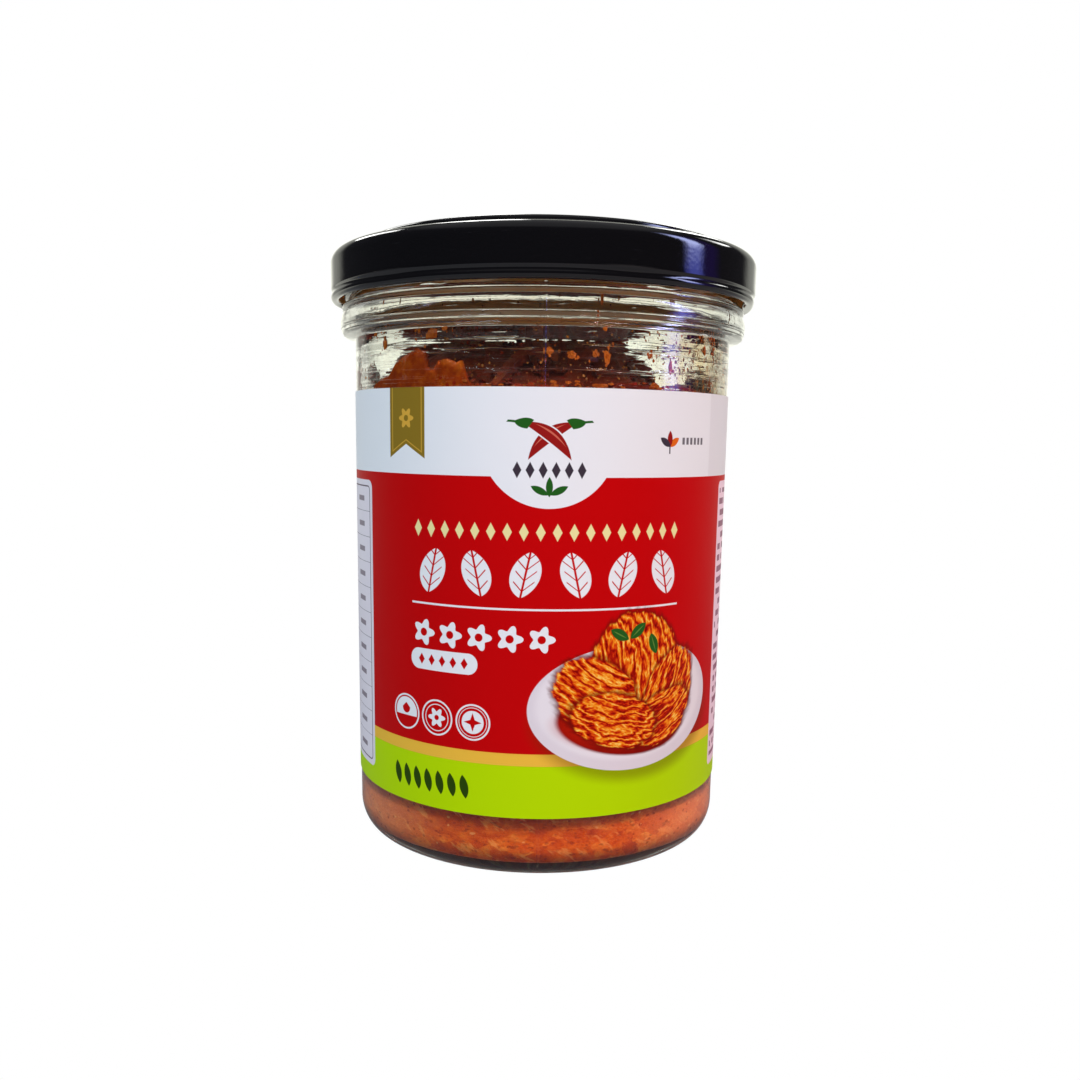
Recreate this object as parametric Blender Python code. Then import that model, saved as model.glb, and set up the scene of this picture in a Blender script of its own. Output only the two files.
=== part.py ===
"""A shut glass jar of kimchi: glass, lug cap, wrap-round paper label and the kimchi inside.

The jar stands upright on the floor at z = 0 with its axis on the world Z axis. The side that is
read as the front faces -Y. Everything is in metres.
"""

import math
import random

import bmesh
import bpy
from mathutils import Vector
from mathutils import noise

# Turned pieces
SEGMENTS = 48
MERGE_DISTANCE = 1e-6
SMOOTH_ANGLE = math.radians(35.0)

# Glass: body
BODY_RADIUS = 0.0379
WALL = 0.0024
FOOT_INNER_RADIUS = 0.0328
FOOT_OUTER_RADIUS = 0.0350
HEEL_HEIGHT = 0.0050
PUSH_UP = 0.0020
BASE_THICKNESS = 0.0024
INNER_HEEL = 0.0030
SHOULDER_HEIGHT = 0.0984

# Glass: neck, from the bead up to the rim
BEAD_CENTRE = (0.0391, 0.1021)
BEAD_SEMI_AXES = (0.00165, 0.00245)
BEAD_ARC = (-83, 72)
COLLAR_CENTRE = (0.0396, 0.1051)
COLLAR_SEMI_AXES = (0.00085, 0.00075)
COLLAR_ARC = (-50, 100)
NECK_RADIUS = 0.0393
RIM_HEIGHT = 0.1148
RIM_ROUND = 0.0009
MOUTH_RADIUS = 0.0369
MOUTH_STEP_TOP = 0.1010
MOUTH_STEP_FOOT = 0.0976

# Glass: the short slanted threads that the cap's lugs turn under
THREAD_COUNT = 6
THREAD_DEPTH = 0.0009
THREAD_LOW = 0.1061
THREAD_RISE = 0.0036
THREAD_HALF_WIDTH = 0.0010
THREAD_ROWS = (0.1063, 0.1071, 0.1080, 0.1089, 0.1098, 0.1107)
THREAD_START = math.radians(-61.0)
THREAD_SPAN = math.radians(46.0)
THREAD_TAPER = 0.55

# Cap: pressed sheet with a raised panel, a rounded shoulder and a rolled curl with lugs
SHEET = 0.0006
PANEL_HEIGHT = 0.1176
PANEL_RADIUS = 0.0363
PANEL_RING_WIDTH = 0.0026
PANEL_SINK = 0.0006
PANEL_ROUND = 0.0008
RING_SLOPE = 0.0012
BUTTON_RADIUS = 0.0125
BUTTON_SINK = 0.0004
BUTTON_SLOPE = 0.0015
CHANNEL_HEIGHT = 0.1158
CHANNEL_RADIUS = 0.0380
CHANNEL_LIP = 0.0002
INSIDE_STEP = 0.7
SHOULDER_ROUND = 0.0024
SKIRT_RADIUS = 0.0425
SKIRT_FOOT = 0.1086
CURL_CENTRE = (0.0417, 0.10705)
CURL_RADIUS = 0.00085
CURL_ARC = (20, -200)
PINCH = 0.0002
PINCH_DROP = 0.0006
LUG_COUNT = 6
LUG_ANGLE = math.radians(-90.0 + 20.5)
LUG_HALF_SPAN = math.radians(14.0)
LUG_REACH = 0.0009
LUG_DENT = 0.00030

# Label: one strip of paper round the body
LABEL_FOOT = 0.0117
LABEL_TOP = 0.0890
LABEL_GAP = 0.0002
LABEL_THICKNESS = 0.0002

# Kimchi: a packed core, with cut cabbage, strips and flat scraps fused to it
CLEARANCE = 0.00035
CORE_SEGMENTS = 40
CORE_RADIUS = 0.0341
CORE_HEEL = 0.0025
CORE_FOOT = BASE_THICKNESS + CLEARANCE
CORE_ROWS = (0.030, 0.058, 0.080)
FILL_HEIGHT = 0.0868
MOUND_RISE = 0.0092
MOUND_MIDDLE = -0.0052
MOUND_TOP_RADIUS = 0.0190
MOUND_FOOT_RADIUS = 0.0315
MOUND_BUMP = 0.0010
MOUND_NOISE = 90.0
MOUND_NOISE_LAYER = 4.0
PRESSED_RADIUS = BODY_RADIUS - WALL - CLEARANCE
LEAF_THICKNESS = 0.0016
INSET_STEP = 0.00017
LEAF_WAVE = 0.0011
LEAF_RIPPLE = 0.0007
LEAF_RAGGED = 0.16
LEAF_NOISE = 3.0
LEAF_NARROWING = 0.25
LEAF_LEAN = 12.0
LEAF_LIFT = 0.0004
LEAF_LIFT_STEP = 0.0003
WALL_LEAF_RAGGED = 0.30
WALL_LEAF_NOISE = 2.5
WALL_LEAF_NARROWING = 0.35
STRIP_THICKNESS = 0.0018
STRIP_WIDTH = 0.0023
STRIP_LIFT = 0.0012
MM = 0.001
RANDOM_SEED = 11
# Cut cabbage on the mound: turn about the axis, distance from it, length, width, in degrees and mm
LEAVES = (
    (-128, 17, 27, 22),
    (-92, 15, 25, 21),
    (-58, 17, 26, 20),
    (-20, 18, 27, 22),
    (18, 17, 24, 20),
    (58, 18, 26, 21),
    (97, 16, 25, 22),
    (140, 18, 26, 21),
    (-165, 17, 25, 20),
    (-80, 3, 26, 23),
    (75, 5, 23, 20),
)
# Pieces against the glass above the label: turn, height of the middle, length round, height
WALL_LEAVES = (
    (-132, 89.5, 25, 11.5),
    (-92, 88, 15, 6),
    (-64, 88, 14, 6),
    (-30, 86, 12, 6),
    (8, 90, 18, 9),
    (47, 88, 14, 6),
    (88, 90, 20, 10),
    (130, 89, 16, 7),
    (-172, 90, 17, 9),
)
# Pieces against the glass below the label: how many, and each measure's least and most
BASE_LEAF_COUNT = 11
BASE_LEAF_TURN = (-0.25, 0.25)
BASE_LEAF_HEIGHT = (0.0086, 0.0106)
BASE_LEAF_LENGTH = (0.011, 0.017)
BASE_LEAF_TALL = (0.0050, 0.0064)
# Shreds on the mound: how many, and each measure's least and most
STRIP_COUNT = 9
STRIP_TURN = (-0.3, 0.3)
STRIP_DISTANCE = (0.008, 0.024)
STRIP_HALF_LENGTH = (0.007, 0.011)
STRIP_BEND = (-0.003, 0.003)


def clear_scene():
    """Empties the scene of its objects."""
    for item in list(bpy.data.objects):
        bpy.data.objects.remove(item, do_unlink=True)


def material(name, colour, roughness, metallic=0.0, transmission=0.0):
    """A Principled material with one colour."""
    made = bpy.data.materials.new(name)
    made.use_nodes = True
    shader = made.node_tree.nodes["Principled BSDF"]
    shader.inputs["Base Color"].default_value = (*colour, 1.0)
    shader.inputs["Roughness"].default_value = roughness
    shader.inputs["Metallic"].default_value = metallic
    shader.inputs["Transmission Weight"].default_value = transmission
    return made


def arc(centre, semi_axes, start, end, steps):
    """Points along an elliptical arc in the half section, angles in degrees from +radius."""
    points = []
    for step in range(steps + 1):
        angle = math.radians(start + (end - start) * step / steps)
        radius = centre[0] + semi_axes[0] * math.cos(angle)
        height = centre[1] + semi_axes[1] * math.sin(angle)
        points.append((radius, height))
    return points


def dome(edge_radius, edge_height, rise, steps):
    """Points of a shallow dome, from the middle out to its edge."""
    points = []
    for step in range(steps + 1):
        share = step / steps
        points.append((edge_radius * share, edge_height + rise * (1.0 - share * share)))
    return points


def object_from(bm, name, finish):
    """Makes an object of a bmesh, shaded smooth except at its sharp edges."""
    bmesh.ops.recalc_face_normals(bm, faces=bm.faces)
    mesh = bpy.data.meshes.new(name)
    bm.to_mesh(mesh)
    bm.free()
    mesh.shade_smooth()
    mesh.set_sharp_from_angle(angle=SMOOTH_ANGLE)
    mesh.materials.append(finish)
    made = bpy.data.objects.new(name, mesh)
    bpy.context.scene.collection.objects.link(made)
    return made


def turned(outline, segments, closed=False):
    """Spins a half section once round the Z axis and returns it as a bmesh."""
    bm = bmesh.new()
    points = [bm.verts.new((radius, 0.0, height)) for radius, height in outline]
    pairs = list(zip(points, points[1:]))
    if closed:
        pairs.append((points[-1], points[0]))
    edges = [bm.edges.new(pair) for pair in pairs]
    bmesh.ops.spin(
        bm,
        geom=points + edges,
        cent=(0.0, 0.0, 0.0),
        axis=(0.0, 0.0, 1.0),
        angle=math.tau,
        steps=segments,
    )
    bmesh.ops.remove_doubles(bm, verts=bm.verts, dist=MERGE_DISTANCE)
    return bm


def angle_gap(first, second):
    """The signed turn from one angle to another, from -pi to pi."""
    return (first - second + math.pi) % math.tau - math.pi


def raised_cosine(offset, half_span):
    """1 in the middle of a bump, falling smoothly to 0 at its ends."""
    if abs(offset) >= half_span:
        return 0.0
    return 0.5 + 0.5 * math.cos(math.pi * offset / half_span)


def jar_outline():
    """Half section of the glass: from under the base, up the outside and down the inside."""
    heel_centre = (FOOT_OUTER_RADIUS, HEEL_HEIGHT)
    heel_semi_axes = (BODY_RADIUS - FOOT_OUTER_RADIUS, HEEL_HEIGHT)
    rim_outer = (NECK_RADIUS - RIM_ROUND, RIM_HEIGHT - RIM_ROUND)
    rim_inner = (MOUTH_RADIUS + RIM_ROUND, RIM_HEIGHT - RIM_ROUND)
    inner_radius = BODY_RADIUS - WALL
    heel_inside = (inner_radius - INNER_HEEL, BASE_THICKNESS + INNER_HEEL)

    outline = dome(FOOT_INNER_RADIUS, 0.0, PUSH_UP, 3)
    outline += arc(heel_centre, heel_semi_axes, -90, 0, 4)
    outline.append((BODY_RADIUS, SHOULDER_HEIGHT))
    outline += arc(BEAD_CENTRE, BEAD_SEMI_AXES, *BEAD_ARC, 6)
    outline += arc(COLLAR_CENTRE, COLLAR_SEMI_AXES, *COLLAR_ARC, 4)
    outline += [(NECK_RADIUS, height) for height in THREAD_ROWS]
    outline += arc(rim_outer, (RIM_ROUND, RIM_ROUND), 0, 90, 2)
    outline += arc(rim_inner, (RIM_ROUND, RIM_ROUND), 90, 180, 2)
    outline.append((MOUTH_RADIUS, MOUTH_STEP_TOP))
    outline.append((inner_radius, MOUTH_STEP_FOOT))
    outline += arc(heel_inside, (INNER_HEEL, INNER_HEEL), 0, -90, 4)
    floor = dome(heel_inside[0], BASE_THICKNESS, PUSH_UP, 3)
    outline += reversed(floor[:-1])
    return outline


def add_threads(bm):
    """Raises the slanted threads on the neck."""
    first_row = THREAD_ROWS[0] - MERGE_DISTANCE
    last_row = THREAD_ROWS[-1] + MERGE_DISTANCE
    for point in bm.verts:
        radius = math.hypot(point.co.x, point.co.y)
        on_neck = abs(radius - NECK_RADIUS) < MERGE_DISTANCE
        if not on_neck or not first_row < point.co.z < last_row:
            continue
        turn = math.atan2(point.co.y, point.co.x)
        for number in range(THREAD_COUNT):
            start = THREAD_START + number * math.tau / THREAD_COUNT
            along = angle_gap(turn, start + THREAD_SPAN / 2) / THREAD_SPAN
            middle = THREAD_LOW + THREAD_RISE * (along + 0.5)
            depth = THREAD_DEPTH * raised_cosine(along, THREAD_TAPER) ** 0.5
            depth *= raised_cosine(point.co.z - middle, THREAD_HALF_WIDTH)
            scale = 1.0 + depth / radius
            point.co.x *= scale
            point.co.y *= scale


def make_jar():
    """The glass jar, hollow and open at the mouth."""
    bm = turned(jar_outline(), SEGMENTS)
    add_threads(bm)
    bmesh.ops.triangulate(bm, faces=bm.faces)
    finish = material("clear_glass", (0.90, 0.93, 0.88), 0.03, transmission=1.0)
    return object_from(bm, "jar", finish)


def panel_points(lowered):
    """The cap's top from its middle out to the foot of the raised panel."""
    top = PANEL_HEIGHT - lowered
    sunk = top - PANEL_SINK
    ring_inner = PANEL_RADIUS - PANEL_RING_WIDTH
    edge = lowered * INSIDE_STEP
    channel = CHANNEL_HEIGHT - lowered
    return [
        (0.0, sunk - BUTTON_SINK),
        (BUTTON_RADIUS - edge, sunk - BUTTON_SINK),
        (BUTTON_RADIUS + BUTTON_SLOPE - edge, sunk),
        (ring_inner - RING_SLOPE + edge, sunk),
        (ring_inner + edge, top),
        (PANEL_RADIUS - PANEL_ROUND - edge * 0.5, top),
        (PANEL_RADIUS - edge, top - PANEL_ROUND * 0.75),
        (PANEL_RADIUS + PANEL_ROUND * 0.6 - edge, channel + CHANNEL_LIP),
        (CHANNEL_RADIUS - edge, channel),
    ]


def cap_outline():
    """Half section of the cap: over the top, down the skirt, round the curl and back inside."""
    shoulder = (SKIRT_RADIUS - SHOULDER_ROUND, CHANNEL_HEIGHT - SHOULDER_ROUND)
    inner_round = SHOULDER_ROUND - SHEET
    outline = panel_points(0.0)
    outline += arc(shoulder, (SHOULDER_ROUND, SHOULDER_ROUND), 90, 0, 4)
    outline.append((SKIRT_RADIUS, SKIRT_FOOT))
    outline.append((SKIRT_RADIUS - PINCH, SKIRT_FOOT - PINCH_DROP))
    outline += arc(CURL_CENTRE, (CURL_RADIUS, CURL_RADIUS), *CURL_ARC, 6)
    outline.append((SKIRT_RADIUS - SHEET, SKIRT_FOOT))
    outline += arc(shoulder, (inner_round, inner_round), 0, 90, 3)
    outline += reversed(panel_points(SHEET))
    return outline


def press_lugs(bm):
    """Presses the lugs into the curl: a shallow dent outside and a tongue inside."""
    for point in bm.verts:
        if point.co.z > SKIRT_FOOT - MERGE_DISTANCE:
            continue
        radius = math.hypot(point.co.x, point.co.y)
        turn = math.atan2(point.co.y, point.co.x)
        inward = LUG_REACH if radius < CURL_CENTRE[0] else LUG_DENT
        for number in range(LUG_COUNT):
            middle = LUG_ANGLE + number * math.tau / LUG_COUNT
            pressed = inward * raised_cosine(angle_gap(turn, middle), LUG_HALF_SPAN)
            scale = 1.0 - pressed / radius
            point.co.x *= scale
            point.co.y *= scale


def make_cap():
    """The twist-off cap."""
    bm = turned(cap_outline(), SEGMENTS)
    press_lugs(bm)
    bmesh.ops.triangulate(bm, faces=bm.faces)
    finish = material("black_lacquer", (0.010, 0.010, 0.012), 0.12)
    return object_from(bm, "lid", finish)


def make_label():
    """The paper strip round the body."""
    inner = BODY_RADIUS + LABEL_GAP
    outer = inner + LABEL_THICKNESS
    section = [
        (inner, LABEL_FOOT),
        (outer, LABEL_FOOT),
        (outer, LABEL_TOP),
        (inner, LABEL_TOP),
    ]
    bm = turned(section, SEGMENTS, closed=True)
    finish = material("label_paper", (0.55, 0.01, 0.01), 0.35)
    return object_from(bm, "label", finish)


def mound_height(x, y):
    """Height of the packed kimchi's uneven top over a point of the floor."""
    reach = math.hypot(x - MOUND_MIDDLE, y)
    share = (reach - MOUND_TOP_RADIUS) / (MOUND_FOOT_RADIUS - MOUND_TOP_RADIUS)
    share = min(1.0, max(0.0, share))
    fall = share * share * (3.0 - 2.0 * share)
    lump = noise.noise(Vector((x * MOUND_NOISE, y * MOUND_NOISE, MOUND_NOISE_LAYER)))
    return FILL_HEIGHT + MOUND_RISE * (1.0 - fall) + MOUND_BUMP * lump


def core_outline():
    """Half section of the packed core, its top still level."""
    heel = (CORE_RADIUS - CORE_HEEL, CORE_FOOT + CORE_HEEL)
    outline = dome(heel[0], CORE_FOOT, PUSH_UP, 3)[:-1]
    outline += arc(heel, (CORE_HEEL, CORE_HEEL), -90, 0, 3)
    outline += [(CORE_RADIUS, height) for height in CORE_ROWS]
    steps = 6
    outline += [(CORE_RADIUS * (1.0 - step / steps), FILL_HEIGHT) for step in range(steps + 1)]
    return outline


def make_core(finish):
    """The packed mass below and behind the pieces that show."""
    bm = turned(core_outline(), CORE_SEGMENTS)
    for point in bm.verts:
        if point.co.z > FILL_HEIGHT - MERGE_DISTANCE:
            point.co.z = mound_height(point.co.x, point.co.y)
    bmesh.ops.triangulate(bm, faces=bm.faces)
    return object_from(bm, "kimchi", finish)


def thin_solid(name, columns, rows, place, thickness, finish):
    """A wavy sheet with both faces split alike. place(u, v) gives a point and its outward side."""
    bm = bmesh.new()
    outer = {}
    inner = {}
    for column in range(columns + 1):
        for row in range(rows + 1):
            point, outward = place(column / columns, row / rows)
            outer[column, row] = bm.verts.new(point + outward * thickness / 2)
            inner[column, row] = bm.verts.new(point - outward * thickness / 2)
    for column in range(columns):
        for row in range(rows):
            corners = [
                (column, row),
                (column + 1, row),
                (column + 1, row + 1),
                (column, row + 1),
            ]
            for picked in ((0, 1, 2), (0, 2, 3)):
                bm.faces.new([outer[corners[number]] for number in picked])
                bm.faces.new([inner[corners[number]] for number in reversed(picked)])
    border = [(column, 0) for column in range(columns)]
    border += [(columns, row) for row in range(rows)]
    border += [(column, rows) for column in range(columns, 0, -1)]
    border += [(0, row) for row in range(rows, 0, -1)]
    for start, end in zip(border, border[1:] + border[:1]):
        bm.faces.new([inner[start], inner[end], outer[end]])
        bm.faces.new([inner[start], outer[end], outer[start]])
    return object_from(bm, name, finish)


def inside_glass(point):
    """Moves a point in to the clearance off the glass wall."""
    reach = math.hypot(point.x, point.y)
    limit = PRESSED_RADIUS - LEAF_THICKNESS
    if reach > limit:
        point.x *= limit / reach
        point.y *= limit / reach
    return point


def mound_leaf(name, turn, distance, length, width, lift, finish):
    """A cut cabbage leaf lying over the mound, its edge ragged and its face wavy."""
    along = Vector((math.cos(turn), math.sin(turn), 0.0))
    across = Vector((-along.y, along.x, 0.0))
    shift = Vector((turn * 7.0, distance * 900.0, length * 500.0))

    def place(u, v):
        spot = Vector((u * LEAF_NOISE, v * LEAF_NOISE, 0.0)) + shift
        ragged = 1.0 + LEAF_RAGGED * noise.noise(spot)
        ahead = (u - 0.5) * length * ragged
        narrow = 1.0 - LEAF_NARROWING * (2.0 * u - 1.0) ** 2
        aside = (v - 0.5) * width * ragged * narrow
        point = along * (distance + ahead) + across * aside
        inside_glass(point)
        wave = LEAF_WAVE * math.sin(7.0 * v + turn * 3.0) + LEAF_RIPPLE * math.sin(9.0 * u + turn)
        point.z = mound_height(point.x, point.y) + lift + wave
        slope = Vector((point.x, point.y, 0.0)) * LEAF_LEAN
        return point, (Vector((0.0, 0.0, 1.0)) + slope).normalized()

    return thin_solid(name, 4, 3, place, LEAF_THICKNESS, finish)


def wall_leaf(name, turn, height, length, tall, inset, finish):
    """A piece pressed flat against the inside of the glass."""
    middle = PRESSED_RADIUS - LEAF_THICKNESS / 2 - inset
    shift = Vector((turn * 5.0, height * 300.0, 0.0))

    def place(u, v):
        spot = Vector((u * WALL_LEAF_NOISE, v * WALL_LEAF_NOISE, 0.0)) + shift
        ragged = 1.0 + WALL_LEAF_RAGGED * noise.noise(spot)
        narrow = 1.0 - WALL_LEAF_NARROWING * (2.0 * u - 1.0) ** 2
        angle = turn + (u - 0.5) * length * ragged / middle
        level = height + (v - 0.5) * tall * ragged * narrow
        outward = Vector((math.cos(angle), math.sin(angle), 0.0))
        point = outward * middle
        point.z = level
        return point, outward

    return thin_solid(name, 3, 2, place, LEAF_THICKNESS, finish)


def strip(name, start, end, bend, finish):
    """A shred, square in section, lying over the mound from one point to another."""
    side = (end - start).cross(Vector((0.0, 0.0, 1.0))).normalized()

    def place(u, v):
        point = start.lerp(end, u) + side * bend * math.sin(math.pi * u)
        point += side * (v - 0.5) * STRIP_WIDTH
        inside_glass(point)
        point.z = mound_height(point.x, point.y) + STRIP_LIFT
        return point, Vector((0.0, 0.0, 1.0))

    return thin_solid(name, 4, 1, place, STRIP_THICKNESS, finish)


def kimchi_pieces(finish):
    """All the pieces that show, as loose solids."""
    draw = random.Random(RANDOM_SEED)
    pieces = []
    for number, (turn, distance, length, width) in enumerate(LEAVES):
        lift = LEAF_LIFT + LEAF_LIFT_STEP * (number % 3)
        size = (distance * MM, length * MM, width * MM)
        pieces.append(mound_leaf(f"leaf_{number}", math.radians(turn), *size, lift, finish))
    for number, (turn, height, length, tall) in enumerate(WALL_LEAVES):
        size = (height * MM, length * MM, tall * MM)
        inset = INSET_STEP * (number % 2)
        pieces.append(wall_leaf(f"wall_leaf_{number}", math.radians(turn), *size, inset, finish))
    for number in range(BASE_LEAF_COUNT):
        turn = (number + draw.uniform(*BASE_LEAF_TURN)) * math.tau / BASE_LEAF_COUNT
        height = draw.uniform(*BASE_LEAF_HEIGHT)
        size = (height, draw.uniform(*BASE_LEAF_LENGTH), draw.uniform(*BASE_LEAF_TALL))
        inset = INSET_STEP * (number % 3)
        pieces.append(wall_leaf(f"base_leaf_{number}", turn, *size, inset, finish))
    for number in range(STRIP_COUNT):
        turn = (number + draw.uniform(*STRIP_TURN)) * math.tau / STRIP_COUNT
        distance = draw.uniform(*STRIP_DISTANCE)
        middle = Vector((math.cos(turn), math.sin(turn), 0.0)) * distance
        heading = draw.uniform(0.0, math.pi)
        half = draw.uniform(*STRIP_HALF_LENGTH)
        reach = Vector((math.cos(heading), math.sin(heading), 0.0)) * half
        bend = draw.uniform(*STRIP_BEND)
        pieces.append(strip(f"strip_{number}", middle - reach, middle + reach, bend, finish))
    return pieces


def keep_largest_body(made):
    """Drops loose scraps and fills sealed hollows: only the largest shell stays."""
    bm = bmesh.new()
    bm.from_mesh(made.data)
    bm.verts.ensure_lookup_table()
    unseen = set(bm.verts)
    shells = []
    while unseen:
        shell = [unseen.pop()]
        for point in shell:
            for edge in point.link_edges:
                other = edge.other_vert(point)
                if other in unseen:
                    unseen.remove(other)
                    shell.append(other)
        shells.append(shell)
    shells.sort(key=len)
    scraps = [point for shell in shells[:-1] for point in shell]
    bmesh.ops.delete(bm, geom=scraps, context="VERTS")
    bm.to_mesh(made.data)
    bm.free()


def make_kimchi():
    """The kimchi: the core and its pieces joined into one solid."""
    finish = material("kimchi", (0.42, 0.09, 0.02), 0.35)
    core = make_core(finish)
    pieces = kimchi_pieces(finish)
    loose = bpy.data.collections.new("loose_kimchi")
    for piece in pieces:
        loose.objects.link(piece)
    union = core.modifiers.new("join_pieces", "BOOLEAN")
    union.operation = "UNION"
    union.operand_type = "COLLECTION"
    union.collection = loose
    union.solver = "EXACT"
    evaluated = core.evaluated_get(bpy.context.evaluated_depsgraph_get())
    joined = bpy.data.meshes.new_from_object(evaluated)
    core.modifiers.clear()
    core.data = joined
    for piece in pieces:
        bpy.data.objects.remove(piece, do_unlink=True)
    bpy.data.collections.remove(loose)
    keep_largest_body(core)
    core.data.shade_smooth()
    core.data.set_sharp_from_angle(angle=SMOOTH_ANGLE)
    return core


def main():
    """Builds the jar."""
    clear_scene()
    make_jar()
    make_cap()
    make_label()
    make_kimchi()


main()
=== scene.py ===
"""Looks of the shut kimchi jar: glass, cap, printed label and the kimchi behind the glass."""

import math
import random

import bpy
import numpy as np
from mathutils import Matrix, Vector, noise


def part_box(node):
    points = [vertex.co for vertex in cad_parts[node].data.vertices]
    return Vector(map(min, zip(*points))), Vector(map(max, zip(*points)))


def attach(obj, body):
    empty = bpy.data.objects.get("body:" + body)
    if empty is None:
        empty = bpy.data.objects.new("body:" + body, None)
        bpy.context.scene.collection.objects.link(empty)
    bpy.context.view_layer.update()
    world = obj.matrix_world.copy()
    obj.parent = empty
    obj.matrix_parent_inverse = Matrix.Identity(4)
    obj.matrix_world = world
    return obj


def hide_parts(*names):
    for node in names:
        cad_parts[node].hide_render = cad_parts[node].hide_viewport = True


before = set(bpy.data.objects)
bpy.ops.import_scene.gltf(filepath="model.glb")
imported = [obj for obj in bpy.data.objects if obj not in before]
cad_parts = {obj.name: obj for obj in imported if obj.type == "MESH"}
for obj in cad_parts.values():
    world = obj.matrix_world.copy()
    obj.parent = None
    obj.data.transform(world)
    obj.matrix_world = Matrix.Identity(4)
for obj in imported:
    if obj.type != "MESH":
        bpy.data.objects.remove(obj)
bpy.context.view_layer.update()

MM = 0.001
TINY = 1e-6
DEGREES = 180.0 / math.pi
UPRIGHT = Vector((0.0, 0.0, 1.0))

# Sizes read from the frame
JAR_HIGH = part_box("jar")[1]
LID_LOW, LID_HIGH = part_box("lid")
LABEL_LOW, LABEL_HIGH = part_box("label")
LABEL_RADIUS = LABEL_HIGH[0]
LABEL_FOOT = LABEL_LOW[2]
LABEL_TOP = LABEL_HIGH[2]

# Glass
GLASS_SEGMENTS = 224
BODY_RADIUS = 0.0379
WALL = 0.0024
INNER_RADIUS = BODY_RADIUS - WALL
FOOT_INNER_RADIUS = 0.0328
FOOT_OUTER_RADIUS = 0.0350
HEEL_HEIGHT = 0.0050
PUSH_UP = 0.0020
BASE_THICKNESS = 0.0024
INNER_HEEL = 0.0030
FILLET_FOOT = 0.0991
FILLET_STEPS = 9
FILLET_POWER = 2.4
BEAD_CENTRE = (0.0391, 0.1021)
BEAD_SEMI_AXES = (0.00165, 0.00245)
BEAD_ARC = (-62.0, 60.0)
BEAD_SQUARENESS = 0.6
COLLAR_CENTRE = (0.0396, 0.1051)
COLLAR_SEMI_AXES = (0.00085, 0.00075)
COLLAR_ARC = (-42.0, 78.0)
COLLAR_GAP = 0.0003
GROOVE_STEPS = 6
GROOVE_SAG = 0.00022
NECK_RADIUS = 0.0393
RIM_HEIGHT = JAR_HIGH[2]
RIM_ROUND = 0.0009
MOUTH_RADIUS = 0.0369
MOUTH_STEP_TOP = 0.1016
MOUTH_STEP_FOOT = 0.0970
THREAD_COUNT = 6
THREAD_DEPTH = 0.0009
THREAD_LOW = 0.1061
THREAD_RISE = 0.0036
THREAD_HALF_WIDTH = 0.0010
THREAD_START = math.radians(-61.0)
THREAD_SPAN = math.radians(46.0)
THREAD_HALF_REACH = 0.55
STAIN_TURN = 56.0
STAIN_HALF_WIDTH = 32.0
MOULD_LINES = (101.25, 100.2)
SEAM_PROUD = 0.00020
SEAM_HALF_ANGLE = math.radians(0.45)
SEAM_TURNS = (math.radians(-89.4), math.radians(90.6))
SEAM_STEPS = 4

# Cap
CAP_SEGMENTS = 288
SHEET = 0.0006
PANEL_HEIGHT = LID_HIGH[2]
PANEL_RADIUS = 0.0363
PANEL_RING_WIDTH = 0.0026
PANEL_SINK = 0.0006
PANEL_SLOPE = 0.0012
PANEL_ROUND = 0.0008
BUTTON_RADIUS = 0.0125
BUTTON_SLOPE = 0.0015
BUTTON_SINK = 0.0004
CHANNEL_HEIGHT = 0.1158
CHANNEL_RADIUS = 0.0380
SHOULDER_ROUND = 0.0024
SKIRT_RADIUS = LID_HIGH[0]
SKIRT_FOOT = 0.1086
CURL_RADIUS = 0.00085
CURL_CENTRE = (0.0417, LID_LOW[2] + CURL_RADIUS)
CURL_OUTER_ARC = (38.0, -90.0)
CURL_INNER_ARC = (-98.0, -210.0)
PINCH = 0.0002
PINCH_DROP = 0.0007
LUG_COUNT = 6
LUG_ANGLE = math.radians(-90.0 + 20.5)
LUG_HALF_SPAN = math.radians(14.0)
LUG_REACH = 0.0009
LUG_DENT = 0.00030
LUG_TAPER = 0.0012

# Label strip: its thickness, how far its inside lies under the CAD label's face, and its lap
PAPER = 0.00011
PAPER_DEPTH = 0.00030
LAP = math.radians(9.0)
LAP_RISE = math.radians(3.0)
LAP_GAP = 0.00002
SEAM_TURN = math.pi / 2
LABEL_STEPS = 368
LABEL_ROWS = 40

# Kimchi
INTO_WALL = 0.00025
MASH_SEGMENTS = 240
FILL_HEIGHT = 0.0868
MOUND_RISE = 0.0087
MOUND_MIDDLE = -0.0052
MOUND_TOP_RADIUS = 0.0190
MOUND_FOOT_RADIUS = 0.0315
MOUND_BUMP = 0.0010
FILL_WOBBLE = 0.0009
FOLD_HEIGHT = 0.0011
MASH_RINGS = 62
MASH_EDGE = 0.004
SMALL_LEAF_COUNT = 14
SHRED_COUNT = 26
FLAKE_COUNT = 900
EDGE_SMEAR_COUNT = 46
BACK_SMEAR_COUNT = 20
SPECK_COUNT = 2200
RIGHT_SPECK_COUNT = 700

# Camera
CAMERA_DISTANCE = 0.21283
CAMERA_HEIGHT = 0.0804
CAMERA_PITCH = math.radians(9.164)
CAMERA_ROLL = math.radians(0.831)
CAMERA_YAW = math.radians(0.062)
CAMERA_LENS = 33.485
SENSOR_WIDTH = 36.0
IMAGE_SIZE = 1080
IMAGE_CENTRE_ROW = 600.0


# Materials


def from_screen(red, green, blue):
    """Linear values of a colour that is given as 0 to 255 screen values."""
    linear = []
    for value in (red, green, blue):
        share = value / 255.0
        linear.append(share / 12.92 if share <= 0.04045 else ((share + 0.055) / 1.055) ** 2.4)
    return tuple(linear)


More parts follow.
